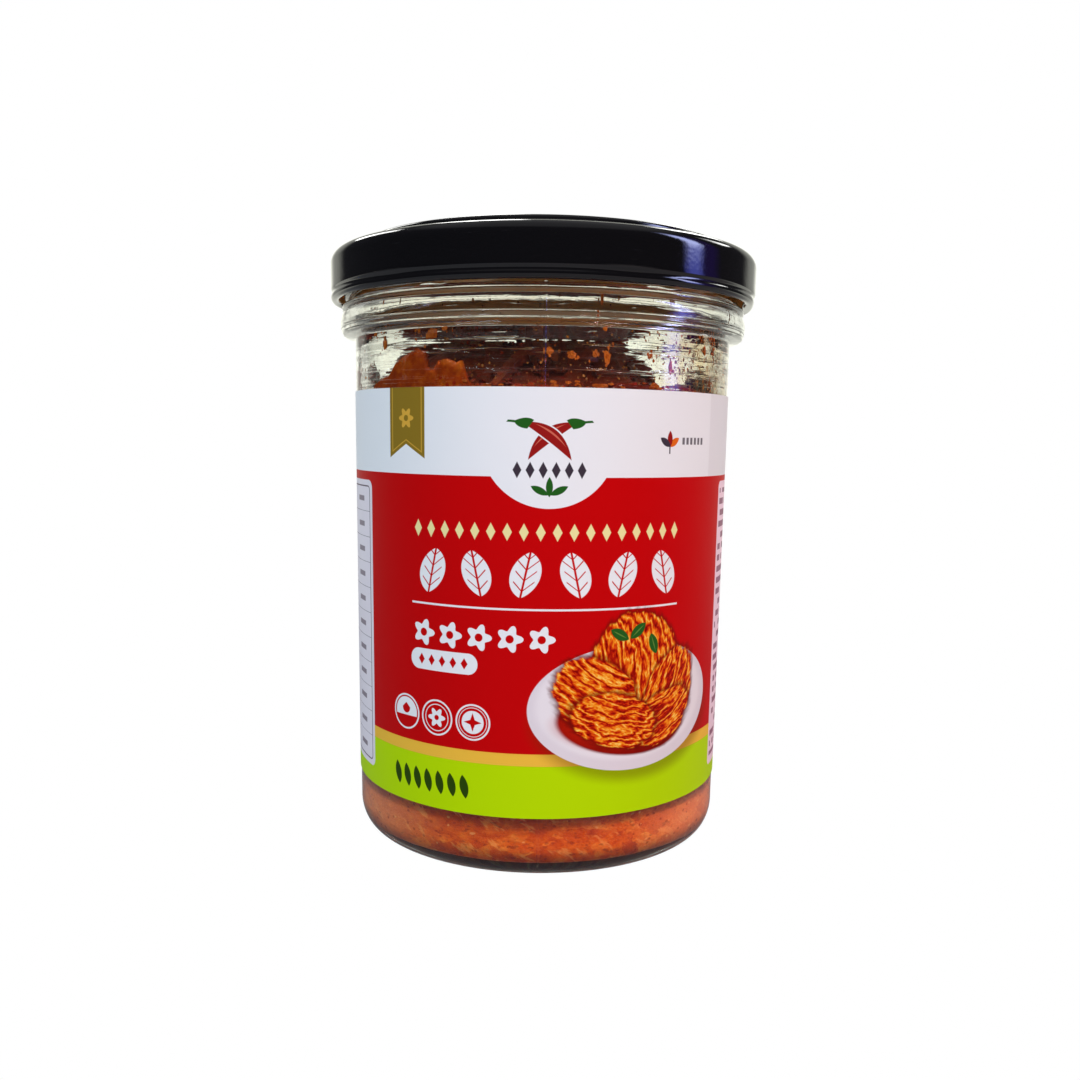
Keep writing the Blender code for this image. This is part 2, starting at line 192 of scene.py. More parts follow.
class Value:
    """A number that changes over a surface. Arithmetic on it adds Math nodes."""

    def __init__(self, finish, socket):
        self.finish = finish
        self.socket = socket

    def __add__(self, other):
        return self.finish.math("ADD", self, other)

    __radd__ = __add__

    def __sub__(self, other):
        return self.finish.math("SUBTRACT", self, other)

    def __rsub__(self, other):
        return self.finish.math("SUBTRACT", other, self)

    def __mul__(self, other):
        return self.finish.math("MULTIPLY", self, other)

    __rmul__ = __mul__

    def __truediv__(self, other):
        return self.finish.math("DIVIDE", self, other)

    def __neg__(self):
        return self * -1.0

    def __abs__(self):
        return self.finish.math("ABSOLUTE", self)


class Finish:
    """The nodes of a material, or of the world where that is given, under construction."""

    def __init__(self, name, world=None):
        self.material = world or bpy.data.materials.new(name)
        self.material.use_nodes = True
        self.tree = self.material.node_tree
        self.tree.nodes.clear()
        self.point = None

    def add(self, kind, settings=None, inputs=None):
        """Adds a node: its settings come first, then the values or links of its sockets."""
        node = self.tree.nodes.new(kind)
        for name, value in (settings or {}).items():
            if name == "stops":
                self.set_stops(node.color_ramp, value)
            else:
                setattr(node, name, value)
        for name, value in (inputs or {}).items():
            self.feed(node.inputs[name], value)
        return node

    def set_stops(self, ramp, stops):
        """Gives a colour ramp its stops, as (place, colour) pairs."""
        while len(ramp.elements) < len(stops):
            ramp.elements.new(1.0)
        for element, (place, colour) in zip(ramp.elements, stops):
            element.position = place
            element.color = (*colour, 1.0)

    def feed(self, socket, value):
        """Sets a socket, or links a Value or another socket to it."""
        if isinstance(value, Value):
            value = value.socket
        if isinstance(value, bpy.types.NodeSocket):
            self.tree.links.new(value, socket)
        elif isinstance(value, tuple) and len(value) == 3 and socket.type == "RGBA":
            socket.default_value = (*value, 1.0)
        else:
            socket.default_value = value

    def math(self, operation, *values):
        """A Math node's result."""
        node = self.add("ShaderNodeMath", {"operation": operation}, dict(enumerate(values)))
        return Value(self, node.outputs[0])

    def least(self, *values):
        """The smallest of several values."""
        result = values[0]
        for value in values[1:]:
            result = self.math("MINIMUM", result, value)
        return result

    def most(self, *values):
        """The largest of several values."""
        result = values[0]
        for value in values[1:]:
            result = self.math("MAXIMUM", result, value)
        return result

    def mix(self, first, second, share):
        """A colour between two colours."""
        settings = {"data_type": "RGBA"}
        node = self.add("ShaderNodeMix", settings, {0: share, 6: first, 7: second})
        return node.outputs[2]

    def place(self):
        """The point on the object, as three values in millimetres."""
        if self.point is None:
            source = self.add("ShaderNodeTexCoord").outputs["Object"]
            inputs = {0: source, "Scale": 1.0 / MM}
            scaled = self.add("ShaderNodeVectorMath", {"operation": "SCALE"}, inputs)
            self.point = self.split(scaled.outputs[0])
        return self.point

    def split(self, vector):
        """The three values of a vector."""
        parts = self.add("ShaderNodeSeparateXYZ", None, {0: vector})
        return [Value(self, socket) for socket in parts.outputs]

    def vector(self, x, y, z):
        """Joins three values into a vector."""
        return self.add("ShaderNodeCombineXYZ", None, {0: x, 1: y, 2: z}).outputs[0]

    def noise(self, vector, scale, detail=3.0, roughness=0.55):
        """Noise from 0 to 1 at a point."""
        inputs = {"Vector": vector, "Scale": scale, "Detail": detail, "Roughness": roughness}
        return Value(self, self.add("ShaderNodeTexNoise", None, inputs).outputs["Fac"])

    def plain_noise(self, scale, detail=3.0):
        """Noise from 0 to 1 at the point on the object."""
        return self.noise(self.vector(*self.place()), scale, detail)

    def cells(self, vector, scale):
        """A Voronoi node at a point."""
        return self.add("ShaderNodeTexVoronoi", None, {"Vector": vector, "Scale": scale})

    def white_noise(self, vector):
        """A random number for each whole-numbered point."""
        node = self.add("ShaderNodeTexWhiteNoise", {"noise_dimensions": "2D"}, {"Vector": vector})
        return Value(self, node.outputs["Value"])

    def glow(self, colour, strength):
        """A shader that gives off light."""
        inputs = {"Color": colour, "Strength": strength}
        return self.add("ShaderNodeEmission", None, inputs).outputs[0]

    def either(self, share, first, second):
        """A shader between two shaders."""
        return self.add("ShaderNodeMixShader", None, {0: share, 1: first, 2: second}).outputs[0]

    def around(self, x, y):
        """The turn about the axis from the middle of the front, in radians."""
        return self.math("ARCTAN2", x, -y)

    def step(self, value, low, high):
        """0 below low, 1 above high and smooth between."""
        settings = {"interpolation_type": "SMOOTHSTEP"}
        inputs = {"Value": value, "From Min": low, "From Max": high}
        return Value(self, self.add("ShaderNodeMapRange", settings, inputs).outputs[0])

    def mark(self, name):
        """A number that the mesh carries at its points."""
        return Value(self, self.add("ShaderNodeAttribute", {"attribute_name": name}).outputs["Fac"])

    def distance(self, cells):
        """The distance that a Voronoi node gives."""
        return Value(self, cells.outputs["Distance"])

    def draw(self, cells, channel=0):
        """The random number that a Voronoi node gives each cell."""
        parts = self.add("ShaderNodeSeparateColor", None, {0: cells.outputs["Color"]})
        return Value(self, parts.outputs[channel])

    def ramp(self, value, stops):
        """A colour picked along a ramp."""
        return self.add("ShaderNodeValToRGB", {"stops": stops}, {0: value}).outputs[0]

    def bump(self, height, distance, strength=1.0):
        """A normal from a height."""
        inputs = {"Height": height, "Distance": distance, "Strength": strength}
        return self.add("ShaderNodeBump", None, inputs).outputs[0]

    def close(self, surface):
        """Ends the material with its surface."""
        self.add("ShaderNodeOutputMaterial", None, {"Surface": surface})
        return self.material

    def principled(self, inputs):
        """Ends the material with a Principled shader."""
        return self.close(self.add("ShaderNodeBsdfPrincipled", None, inputs).outputs[0])


def glass_finish():
    """Clear soda-lime glass with a faint olive tint, slightly rippled as moulded glass is, with a stain
    and a painted tan tint over the front of the bead.
    """
    finish = Finish("clear_glass")
    x, y, z = finish.place()
    ripple = finish.noise(finish.vector(x * 0.04, y * 0.04, z * 0.85), 1.0, 2.0)
    bend = finish.noise(finish.vector(x * 0.05, y * 0.05, z * 0.1), 1.0, 1.0) * 4.0
    lines = finish.step(finish.noise(finish.vector(bend, 0.0, z * 0.95), 1.0, 2.0), 0.56, 0.68)
    swell = finish.noise(finish.vector(x * 0.12, y * 0.12, z * 0.12), 1.0, 1.0)
    stipple = finish.plain_noise(0.9, 2.0)
    neck = finish.step(z, 86.0, 92.0) * (1.0 - finish.step(z, 98.0, 100.5) * 0.78)
    height = (ripple * 0.6 + lines * 0.7) * neck + swell * 1.2 + stipple * 0.10
    for level in MOULD_LINES:
        height = height + finish.step(abs(z - level), 0.34, 0.04) * 1.1
    turn = finish.around(x, y) * DEGREES
    cloud = finish.noise(finish.vector(x * 0.3, y * 0.3, z * 0.22), 1.0, 4.0, 0.6)
    stain_and_painted_tint = finish.step(abs(turn - STAIN_TURN), STAIN_HALF_WIDTH, STAIN_HALF_WIDTH * 0.3)
    stain_and_painted_tint = stain_and_painted_tint * finish.step(z, 87.0, 89.0) * finish.step(z, 101.0, 97.0)
    stain_and_painted_tint = stain_and_painted_tint * finish.step(cloud, 0.30, 0.56) + finish.step(cloud, 0.56, 0.72) * 0.25
    # Painted tint: the front of the bead and collar is tinted tan, standing in for the brown of the
    # lacquer seen through the glass there.
    bead = finish.step(z, 99.0, 100.0) * finish.step(z, 106.5, 105.0)
    bead = bead * finish.step(abs(turn), 62.0, 34.0)
    stain_and_painted_tint = finish.math("MINIMUM", stain_and_painted_tint + bead * 0.22, 1.0)
    inputs = {
        "Base Color": finish.mix((0.955, 0.965, 0.925), (0.86, 0.72, 0.50), stain_and_painted_tint),
        "Roughness": 0.004,
        "IOR": 1.5,
        "Transmission Weight": 1.0,
        "Normal": finish.bump(height, 0.00016, 0.6),
    }
    glass = finish.add("ShaderNodeBsdfPrincipled", None, inputs).outputs[0]
    lamp_way = finish.add("ShaderNodeBsdfTransparent", None, {"Color": (0.86, 0.87, 0.83)})
    shadow = finish.add("ShaderNodeLightPath").outputs["Is Shadow Ray"]
    return finish.close(finish.either(shadow, glass, lamp_way.outputs[0]))


def lacquer_finish():
    """Black lacquer on pressed sheet: a faint orange peel and a few hair scratches."""
    finish = Finish("black_lacquer")
    x, y, z = finish.place()
    peel = finish.plain_noise(0.55, 2.0)
    turn = finish.around(x, y)
    hair = finish.noise(finish.vector(turn * 9.0, z * 7.0, 0.0), 1.0, 4.0, 0.6)
    scratch = finish.step(hair, 0.66, 0.72)
    dust = finish.step(finish.plain_noise(2.6, 2.0), 0.71, 0.78)
    marks = scratch * 0.5 + dust * 0.25
    inputs = {
        "Base Color": finish.mix((0.0030, 0.0028, 0.0036), (0.022, 0.022, 0.025), marks),
        "Roughness": 0.05 + scratch * 0.14 + peel * 0.03,
        "Specular IOR Level": 0.5,
        "Normal": finish.bump(peel, 0.00005, 0.35),
    }
    return finish.principled(inputs)


def inside_lacquer_finish():
    """The tan lacquer on the inside of the cap."""
    finish = Finish("inside_lacquer")
    cloud = finish.plain_noise(0.3)
    inputs = {
        "Base Color": finish.mix((0.90, 0.40, 0.11), (0.96, 0.58, 0.20), cloud),
        "Roughness": 0.32 + cloud * 0.1,
    }
    return finish.principled(inputs)


# Print of the label. Lengths are in millimetres: across runs to the right from the middle of
# the front, up runs up from the jar's foot.

PRINT_EDGE = 0.12
WHITE = from_screen(237, 237, 239)
RED = from_screen(196, 2, 6)
GOLD = from_screen(242, 188, 64)
LIME = from_screen(184, 222, 0)
CREAM = from_screen(240, 226, 160)
OLIVE_GOLD = from_screen(140, 112, 34)
LEAF_GREEN = from_screen(36, 92, 30)
INK = from_screen(62, 52, 62)
PANEL_INK = from_screen(96, 74, 86)
PINK_INK = from_screen(128, 62, 88)
PANEL_WHITE = from_screen(236, 226, 232)
PANEL_PINK = from_screen(244, 214, 226)
# Grey of the dish's printed rim, also used for the painted shade on the white band.
DISH_RIM_AND_SHADE_GREY = from_screen(190, 182, 186)
ORANGE = from_screen(226, 104, 24)
YELLOW = from_screen(240, 182, 70)
POD_RED = from_screen(150, 26, 24)
POD_SHINE = from_screen(226, 120, 96)

RED_TOP = 73.7
GOLD_TOP = 23.9
GOLD_FOOT = 21.6


class Print:
    """Fields of colour laid one over another on the label."""

    def __init__(self, finish, ground):
        self.finish = finish
        x, y, z = finish.place()
        self.across = finish.around(x, y) * (LABEL_RADIUS / MM)
        self.up = z
        self.colour = ground

    def lay(self, distance, colour, strength=1.0, edge=PRINT_EDGE):
        """Fills the area where distance is below 0."""
        mask = self.finish.step(-distance, -edge / 2, edge / 2)
        if strength != 1.0:
            mask = mask * strength
        self.colour = self.finish.mix(self.colour, colour, mask)

    def line(self, distance, thickness, colour, strength=1.0):
        """Draws the outline where distance is 0."""
        self.lay(abs(distance) - thickness / 2, colour, strength)

    def local(self, centre, tilt=0.0):
        """Coordinates about a centre, turned by tilt degrees."""
        right = self.across - centre[0]
        above = self.up - centre[1]
        if tilt == 0.0:
            return right, above
        cosine = math.cos(math.radians(tilt))
        sine = math.sin(math.radians(tilt))
        return right * cosine + above * sine, above * cosine - right * sine

    def row(self, first, spacing, count, height):
        """Coordinates about the nearest of a row's centres, its number and the row's limits."""
        shifted = self.across - (first - spacing / 2)
        number = self.finish.math("FLOOR", shifted / spacing)
        right = shifted - number * spacing - spacing / 2
        outside = self.finish.most(-shifted, shifted - spacing * count)
        return right, self.up - height, number, outside

    def diamond(self, right, above, half_width, half_height, softness):
        """An upright diamond about the local centre. Softness makes its distance right near its edge."""
        return (abs(right) / half_width + abs(above) / half_height - 1.0) * softness

    def diamonds(self, first, spacing, count, height, size, colour):
        """A row of diamonds."""
        right, above, number, outside = self.row(first, spacing, count, height)
        self.lay(self.finish.most(self.diamond(right, above, *size), outside), colour)

    def length(self, right, above):
        """Distance from the local centre."""
        return self.finish.math("SQRT", right * right + above * above)

    def band(self, low, high):
        """A band all the way round."""
        return abs(self.up - (low + high) / 2) - (high - low) / 2

    def box(self, left, right, low, high, corner=0.0):
        """A box, with round corners if corner is given."""
        aside, above = self.local(((left + right) / 2, (low + high) / 2))
        past_side = abs(aside) - ((right - left) / 2 - corner)
        past_top = abs(above) - ((high - low) / 2 - corner)
        if corner == 0.0:
            return self.finish.most(past_side, past_top)
        outside = self.length(self.finish.most(past_side, 0.0), self.finish.most(past_top, 0.0))
        inside = self.finish.least(self.finish.most(past_side, past_top), 0.0)
        return outside + inside - corner

    def disc(self, centre, radius):
        """A round field."""
        return self.length(*self.local(centre)) - radius

    def oval(self, centre, radii, tilt=0.0):
        """An ellipse, by a distance that is right near its edge."""
        right, above = self.local(centre, tilt)
        return (self.length(right / radii[0], above / radii[1]) - 1.0) * min(radii)

    def lens(self, right, above, half_width, half_height):
        """A pointed leaf, upright about the local centre."""
        radius = (half_height ** 2 + half_width ** 2) / (2 * half_width)
        return self.length(abs(right) + (radius - half_width), above) - radius

    def fanned_leaf(self, foot, tilt, reach, size, colour):
        """A leaf that leans out from a foot, with its middle at the given reach across and up."""
        lean = math.radians(tilt)
        centre = (foot[0] - math.sin(lean) * reach[0], foot[1] + math.cos(lean) * reach[1])
        self.lay(self.lens(*self.local(centre, tilt), *size), colour)

    def flower(self, right, above, radius, petals):
        """A round flower with petals."""
        turn = self.finish.math("ARCTAN2", above, right)
        wave = self.finish.math("COSINE", turn * petals)
        return self.length(right, above) - (wave * (radius * 0.2) + radius * 0.8)


def lay_grounds(art):
    """The bands that run all the way round, the half disc that hangs into the red, and a painted grey
    shade over the white at the right.
    """
    # Painted shade: a faint grey over the white band from 37.6 mm to the right, standing in for the
    # shading at that side.
    art.lay(art.box(37.6, 126.0, RED_TOP, 92.0), DISH_RIM_AND_SHADE_GREY, 0.22, 0.3)
    art.lay(art.up - RED_TOP, RED)
    art.lay(art.disc((1.45, 80.65), 12.4), WHITE)
    art.lay(art.band(GOLD_FOOT, GOLD_TOP), GOLD)
    art.lay(art.up - GOLD_FOOT, LIME)


def lay_ribbon(art):
    """The olive-gold ribbon that hangs from the label's top edge, with a notched tail."""
    aside, above = art.local((-26.6, 79.0))
    tail = abs(aside) * -0.556 - above
    ribbon = art.finish.most(abs(aside) - 4.55, tail)
    art.lay(ribbon, OLIVE_GOLD)
    art.line(ribbon + 0.75, 0.22, YELLOW, 0.55)
    right, above = art.local((-26.6, 83.6))
    art.lay(art.flower(right, above, 1.9, 6), YELLOW, 0.7)
    art.lay(art.length(right, above) - 0.55, OLIVE_GOLD)


def lay_emblem(art):
    """On the white half disc: two crossed chilli pods, a row of dark diamonds and a green sprig."""
    finish = art.finish
    for side in (-1, 1):
        right, above = art.local((1.55 + side * 0.5, 80.7), side * 52.0)
        bent = right + above * above * (side * 0.045)
        pod = art.lens(bent, above - 0.3, 1.15, 5.4)
        art.lay(pod - 0.22, WHITE)
        art.lay(pod, POD_RED)
        art.lay(art.lens(bent - side * 0.35, above - 0.4, 0.16, 3.2), POD_SHINE, 0.7)
        cap = finish.most(art.lens(bent, above - 5.0, 1.05, 1.9), 4.3 - above)
        art.lay(cap, LEAF_GREEN)
        stalk = finish.most(abs(bent + side * 0.1) - 0.24, abs(above - 7.0) - 0.9)
        art.lay(stalk, LEAF_GREEN)
    art.diamonds(-4.15, 2.28, 6, 74.9, (0.78, 1.45, 0.66), INK)
    for tilt in (-64.0, 0.0, 64.0):
        art.fanned_leaf((1.55, 70.9), tilt, (1.9, 1.1), (0.62, 1.75), LEAF_GREEN)


def lay_small_mark(art):
    """A small spray of three leaves and a short row of bars on the white at the right."""
    for tilt, colour in ((-58.0, ORANGE), (0.0, POD_RED), (58.0, INK)):
        art.fanned_leaf((25.0, 79.3), tilt, (1.25, 1.25), (0.62, 1.45), colour)
    art.lay(art.box(24.85, 25.15, 77.9, 79.5), INK)
    right, above, number, outside = art.row(28.6, 1.15, 6, 80.2)
    art.lay(art.finish.most(abs(right) - 0.34, abs(above) - 0.62, outside), INK, 0.85)


def lay_garland(art):
    """A row of white leaves, a cream row of diamonds over it and a rule under it."""
    finish = art.finish
    right, above, number, outside = art.row(-20.4, 8.97, 6, 56.55)
    lean = finish.math("PINGPONG", number, 1.0) * 0.44 - 0.22
    leaning = right + above * lean
    leaf = art.lens(leaning, above, 2.75, 4.1)
    vein = abs(leaning) - 0.2
    slope = finish.math("PINGPONG", above - abs(leaning) * 0.9 + 20.0, 0.95)
    ribs = finish.most(slope - 0.13, abs(leaning) - 1.9)
    leaf = finish.most(leaf, -vein, -ribs, outside)
    art.lay(leaf, WHITE)
    art.diamonds(-23.6, 2.97, 18, 64.1, (0.85, 1.55, 0.7), CREAM)
    art.lay(art.box(-25.2, 28.3, 50.2, 50.55), WHITE)
    right, above, number, outside = art.row(-22.4, 5.75, 5, 45.0)
    flower = finish.most(art.flower(right, above, 2.5, 5), outside)
    art.lay(finish.most(flower, 0.75 - art.length(right, above)), WHITE)
    art.lay(art.box(-25.5, -11.1, 38.0, 41.9, 1.9), WHITE)
    art.diamonds(-22.9, 2.3, 5, 39.95, (0.7, 1.05, 0.6), RED)


def lay_badges(art):
    """Three round badges: a half disc with a drop, a flower and a star of diamonds."""
    finish = art.finish
    height = 29.2
    radius = 3.45
    for middle in (-27.0, -19.5, -12.0):
        art.lay(art.disc((middle, height), radius), RED)
        art.line(art.disc((middle, height), radius - 0.2), 0.32, WHITE)
    right, above = art.local((-27.0, height))
    inner = art.length(right, above) - (radius - 0.65)
    art.lay(finish.most(inner, -0.7 - above), WHITE)
    art.lay(finish.most(abs(right) * 0.9 + above - 1.75, art.length(right, above - 0.7) - 1.0), RED)
    right, above = art.local((-19.5, height))
    art.lay(art.flower(right, above, 1.9, 6), WHITE)
    art.lay(art.length(right, above) - 0.5, RED)
    art.line(art.length(right, above) - 2.5, 0.16, WHITE)
    right, above = art.local((-12.0, height))
    art.lay(art.length(right, above) - 2.15, WHITE)
    upright = art.diamond(right, above, 0.62, 1.75, 0.5)
    level = art.diamond(right, above, 1.75, 0.62, 0.5)
    art.lay(finish.least(upright, level), RED)
    art.line(art.length(right, above) - 2.72, 0.12, WHITE)


def lay_dish(art):
    """A pale oval dish: bundles of orange leaf strands on red sauce, and three green leaves."""
    centre = (18.7, 32.0)
    art.lay(art.oval((19.6, 29.6), (20.6, 11.6)), from_screen(96, 40, 6), 0.5, 3.0)
    art.lay(art.oval(centre, (20.6, 12.0)), from_screen(226, 216, 222))
    art.lay(art.oval((18.4, 32.7), (18.8, 10.7)), from_screen(236, 228, 232), 1.0, 1.2)
    art.lay(art.oval((18.7, 31.6), (15.2, 8.0)), DISH_RIM_AND_SHADE_GREY, 0.6, 1.5)
    art.lay(art.oval((18.7, 31.9), (14.8, 7.6)), from_screen(232, 222, 226), 1.0, 0.8)
    art.lay(art.oval((17.2, 28.9), (13.9, 6.0), -6.0), from_screen(126, 6, 2), 1.0, 0.6)
    art.lay(art.oval((15.6, 28.2), (11.6, 4.2), -6.0), from_screen(190, 26, 6), 0.9, 2.4)
    bundles = (
        ((19.2, 37.2), (12.4, 10.2), 90.0, 1.9, 3.0),
        ((27.0, 33.4), (9.2, 6.0), 62.0, 1.7, 11.0),
        ((10.8, 34.6), (8.4, 6.6), -28.0, 1.9, 19.0),
        ((25.4, 29.2), (7.8, 4.6), 24.0, 1.6, 27.0),
        ((14.8, 29.6), (8.8, 5.0), -12.0, 1.5, 35.0),
    )
    for centre, radii, tilt, pitch, seed in bundles:
        lay_bundle(art, centre, radii, tilt, pitch, seed)
    for centre, tilt in (((15.2, 45.6), 62.0), ((19.0, 46.1), -50.0), ((22.6, 43.4), 20.0)):
        right, above = art.local(centre, tilt)
        art.lay(art.lens(right, above, 1.0, 2.1), LEAF_GREEN)
        art.lay(art.lens(right, above, 0.12, 1.5), from_screen(104, 140, 60), 0.8)


def lay_bundle(art, centre, radii, tilt, pitch, seed):
    """A folded bundle of leaf strands: wavy layers from dark red to yellow, dark round its edge."""
    finish = art.finish
    right, above = art.local(centre, tilt)
    here = finish.vector(right * 0.22, above * 0.55, seed)
    wave = finish.noise(here, 1.0, 3.0)
    ragged = art.oval(centre, radii, tilt) + (wave - 0.5) * 2.2
    depth = above + wave * 6.0 - right * right * 0.035 + 40.0
    layers = finish.math("PINGPONG", depth, pitch / 2) / (pitch / 2)
    grain = finish.noise(finish.vector(right * 0.5, above * 2.0, seed), 1.0, 3.0, 0.6)
    tone = layers * 0.52 + grain * 0.62 - 0.10
    strands = finish.ramp(tone, (
        (0.18, from_screen(122, 2, 0)),
        (0.34, from_screen(190, 26, 4)),
        (0.50, from_screen(226, 84, 10)),
        (0.66, from_screen(248, 152, 28)),
        (0.82, from_screen(255, 218, 112)),
    ))
    art.lay(ragged - 0.5, from_screen(112, 10, 4), 0.85, 1.2)
    art.lay(ragged, strands, 1.0, 0.4)


def lay_panels(art):
    """The two pale side panels: a ruled table on one, rows of short marks on the other."""
    finish = art.finish
    art.lay(art.box(-80.0, -38.4, 15.2, 72.0, 1.6), PANEL_WHITE)
    frame_inside = art.box(-78.8, -39.6, 16.4, 70.8, 0.9)
    art.line(frame_inside, 0.25, PANEL_INK)
    rise = art.up - 16.4
    number = finish.math("FLOOR", rise / 4.95)
    level = rise - number * 4.95
    art.lay(finish.most(abs(level) - 0.1, frame_inside), PANEL_INK, 0.8)
    art.lay(finish.most(abs(art.across + 50.5) - 0.1, frame_inside), PANEL_INK, 0.8)
    draw = finish.add("ShaderNodeTexWhiteNoise", {"noise_dimensions": "1D"}, {"W": number * 3.7})
    reach = Value(finish, draw.outputs["Value"]) * 12.0 + 7.0
    bar = finish.most(abs(level - 2.45) - 0.55, abs(art.across + 76.0) - reach)
    bar = finish.most(bar, -76.5 - art.across)
    small = finish.most(abs(level - 2.45) - 0.5, abs(art.across + 45.0) - 2.2)
    art.lay(finish.most(finish.least(bar, small), frame_inside + 0.6), PANEL_INK, 0.75)

    art.lay(art.box(44.0, 86.0, 14.8, 72.6, 1.3), PANEL_PINK)
    inside = art.box(45.1, 84.6, 16.6, 71.2)
    number = finish.math("FLOOR", art.up / 2.25)
    level = art.up - number * 2.25 - 1.12
    word = finish.math("FLOOR", art.across / 1.7)
    draw_at = finish.vector(word, number, 0.0)
    gap = (0.30 - finish.white_noise(draw_at)) * 20.0
    art.lay(finish.most(abs(level) - 0.60, gap, inside), PINK_INK, 0.85)


def lay_lime_ornament(art):
    """A row of upright dark leaves on the lime band."""
    right, above, number, outside = art.row(-29.4, 2.62, 7, 16.8)
    leaf = art.lens(right + above * 0.16, above, 0.88, 2.25)
    art.lay(art.finish.most(leaf, outside), from_screen(44, 70, 8))


def paper_surface(finish, colour):
    """Coated paper: the print under a thin, slightly uneven gloss."""
    fibre = finish.plain_noise(2.2, 4.0)
    wave = finish.plain_noise(0.06, 2.0)
    inputs = {
        "Base Color": colour,
        "Roughness": 0.42 + fibre * 0.10,
        "Specular IOR Level": 0.06,
        "Normal": finish.bump(fibre * 0.15 + wave * 3.0, 0.0001, 0.5),
    }
    return finish.principled(inputs)


def label_finish():
    """The printed face of the label."""
    finish = Finish("label_paper")
    art = Print(finish, WHITE)
    lay_grounds(art)
    lay_ribbon(art)
    lay_emblem(art)
    lay_small_mark(art)
    lay_garland(art)
    lay_badges(art)
    lay_dish(art)
    lay_panels(art)
    lay_lime_ornament(art)
    return paper_surface(finish, art.colour)


def paper_back_finish():
    """The plain back and the cut edges of the paper."""
    finish = Finish("label_back")
    fibre = finish.plain_noise(1.4)
    return paper_surface(finish, finish.mix((0.62, 0.60, 0.56), (0.74, 0.72, 0.68), fibre))


def kimchi_surface(finish, colour, height, roughness, wet=1.0):
    """Wet food: the given colour and relief under a film of sauce."""
    return finish.principled({
        "Base Color": colour,
        "Roughness": roughness,
        "Specular IOR Level": 0.3 * wet,
        "Coat Weight": 0.25 * wet,
        "Coat Roughness": 0.08,
        "Normal": finish.bump(height, 0.0006, 0.55),
    })


def mash_finish():
    """Packed kimchi in its sauce: blurred cabbage pieces, pale ribs, chilli flecks and seeds, with
    painted light on its sides and painted shade towards its top.
    """
    finish = Finish("kimchi_mash")
    x, y, z = finish.place()
    turn = finish.around(x, y) * 35.0
    wrap = finish.vector(turn, z * 1.5, finish.math("SQRT", x * x + y * y) * 0.6)
    warp = finish.noise(wrap, 0.16, 3.0)
    patches = finish.cells(finish.vector(turn + warp * 14.0, z * 1.6 + warp * 11.0, x * 0.05), 0.2)
    cloud = finish.noise(wrap, 0.34, 5.0, 0.62)
    haze = finish.noise(wrap, 0.07, 2.0)
    colour = finish.ramp(finish.draw(patches) * 0.28 + cloud * 0.8, (
        (0.20, from_screen(158, 36, 0)),
        (0.42, from_screen(206, 68, 0)),
        (0.60, from_screen(226, 94, 8)),
        (0.86, from_screen(244, 146, 52)),
    ))
    grain = finish.noise(wrap, 1.3, 4.0, 0.7)
    colour = finish.mix(colour, from_screen(150, 34, 8), finish.step(grain, 0.50, 0.30) * 0.45)
    colour = finish.mix(colour, from_screen(246, 150, 70), finish.step(grain, 0.56, 0.74) * 0.35)
    slanted = finish.vector(turn * 0.34 + z * 0.42, z * 0.20 - turn * 0.06, 3.0)
    ribs = finish.noise(slanted, 1.0, 3.0, 0.6)
    colour = finish.mix(colour, from_screen(248, 160, 78), finish.step(ribs, 0.56, 0.66) * 0.5)
    blot = finish.noise(finish.vector(turn * 0.36, z * 0.62, 8.0), 1.0, 3.0, 0.6)
    colour = finish.mix(colour, from_screen(120, 18, 6), finish.step(blot, 0.60, 0.68) * 0.55)
    # Painted light: the mash turns paler and pinker towards the sides, standing in for light falling on
    # them.
    side = finish.step(abs(turn), 14.0, 34.0)
    colour = finish.mix(colour, from_screen(240, 140, 84), side * 0.6)
    colour = finish.mix(colour, from_screen(206, 88, 60), finish.step(haze, 0.50, 0.68) * 0.4)
    fleck = finish.cells(finish.vector(turn + warp * 3.0, z * 1.3, y * 0.2), 0.95)
    spot = finish.step(finish.distance(fleck), 0.44, 0.20)
    red_fleck = spot * finish.step(finish.draw(fleck, 1), 0.80, 0.84)
    seed = spot * finish.step(finish.draw(fleck, 1), 0.035, 0.02)
    colour = finish.mix(colour, from_screen(146, 20, 8), red_fleck * 0.5)
    colour = finish.mix(colour, from_screen(246, 176, 100), seed * 0.55)
    # Painted shade: the mash darkens towards its top, standing in for the shadow under the cap.
    painted_top_shade = finish.step(z, 84.0, 90.0)
    colour = finish.mix(colour, from_screen(92, 30, 18), painted_top_shade * 0.85)
    return kimchi_surface(finish, colour, cloud * 1.2, 0.32 + cloud * 0.15, 0.1)


def leaf_finish(name, stops, rib, fleck_share, wet):
    """Cut vegetable soaked in sauce, paler along its ribs, with chilli flecks stuck to it."""
    finish = Finish(name)
    at = finish.vector(*finish.place())
    cloud = finish.noise(at, 0.34, 4.0, 0.6)
    colour = finish.ramp(finish.mark("tone") * 0.5 + cloud * 0.5, stops)
    colour = finish.mix(colour, rib, finish.step(finish.mark("vein"), 0.4, 1.0) * 0.45)
    fleck = finish.cells(at, 0.8)
    spot = finish.step(finish.distance(fleck), 0.36, 0.20)
    picked = finish.step(finish.draw(fleck), 1.0 - fleck_share, 1.03 - fleck_share)
    colour = finish.mix(colour, from_screen(124, 16, 6), spot * picked * 0.8)
    pucker = finish.plain_noise(0.7)
    return kimchi_surface(finish, colour, pucker + cloud * 0.4, 0.24 + cloud * 0.16, wet)


def fleck_finish(name, first, second):
    """Chilli flakes, seeds and drops of sauce, each piece with its own tone."""
    finish = Finish(name)
    grain = finish.plain_noise(1.6)
    tone = finish.mark("tone") * 0.65 + finish.step(grain, 0.35, 0.65) * 0.35
    return kimchi_surface(finish, finish.mix(first, second, tone), grain, 0.22 + grain * 0.15, 0.5)


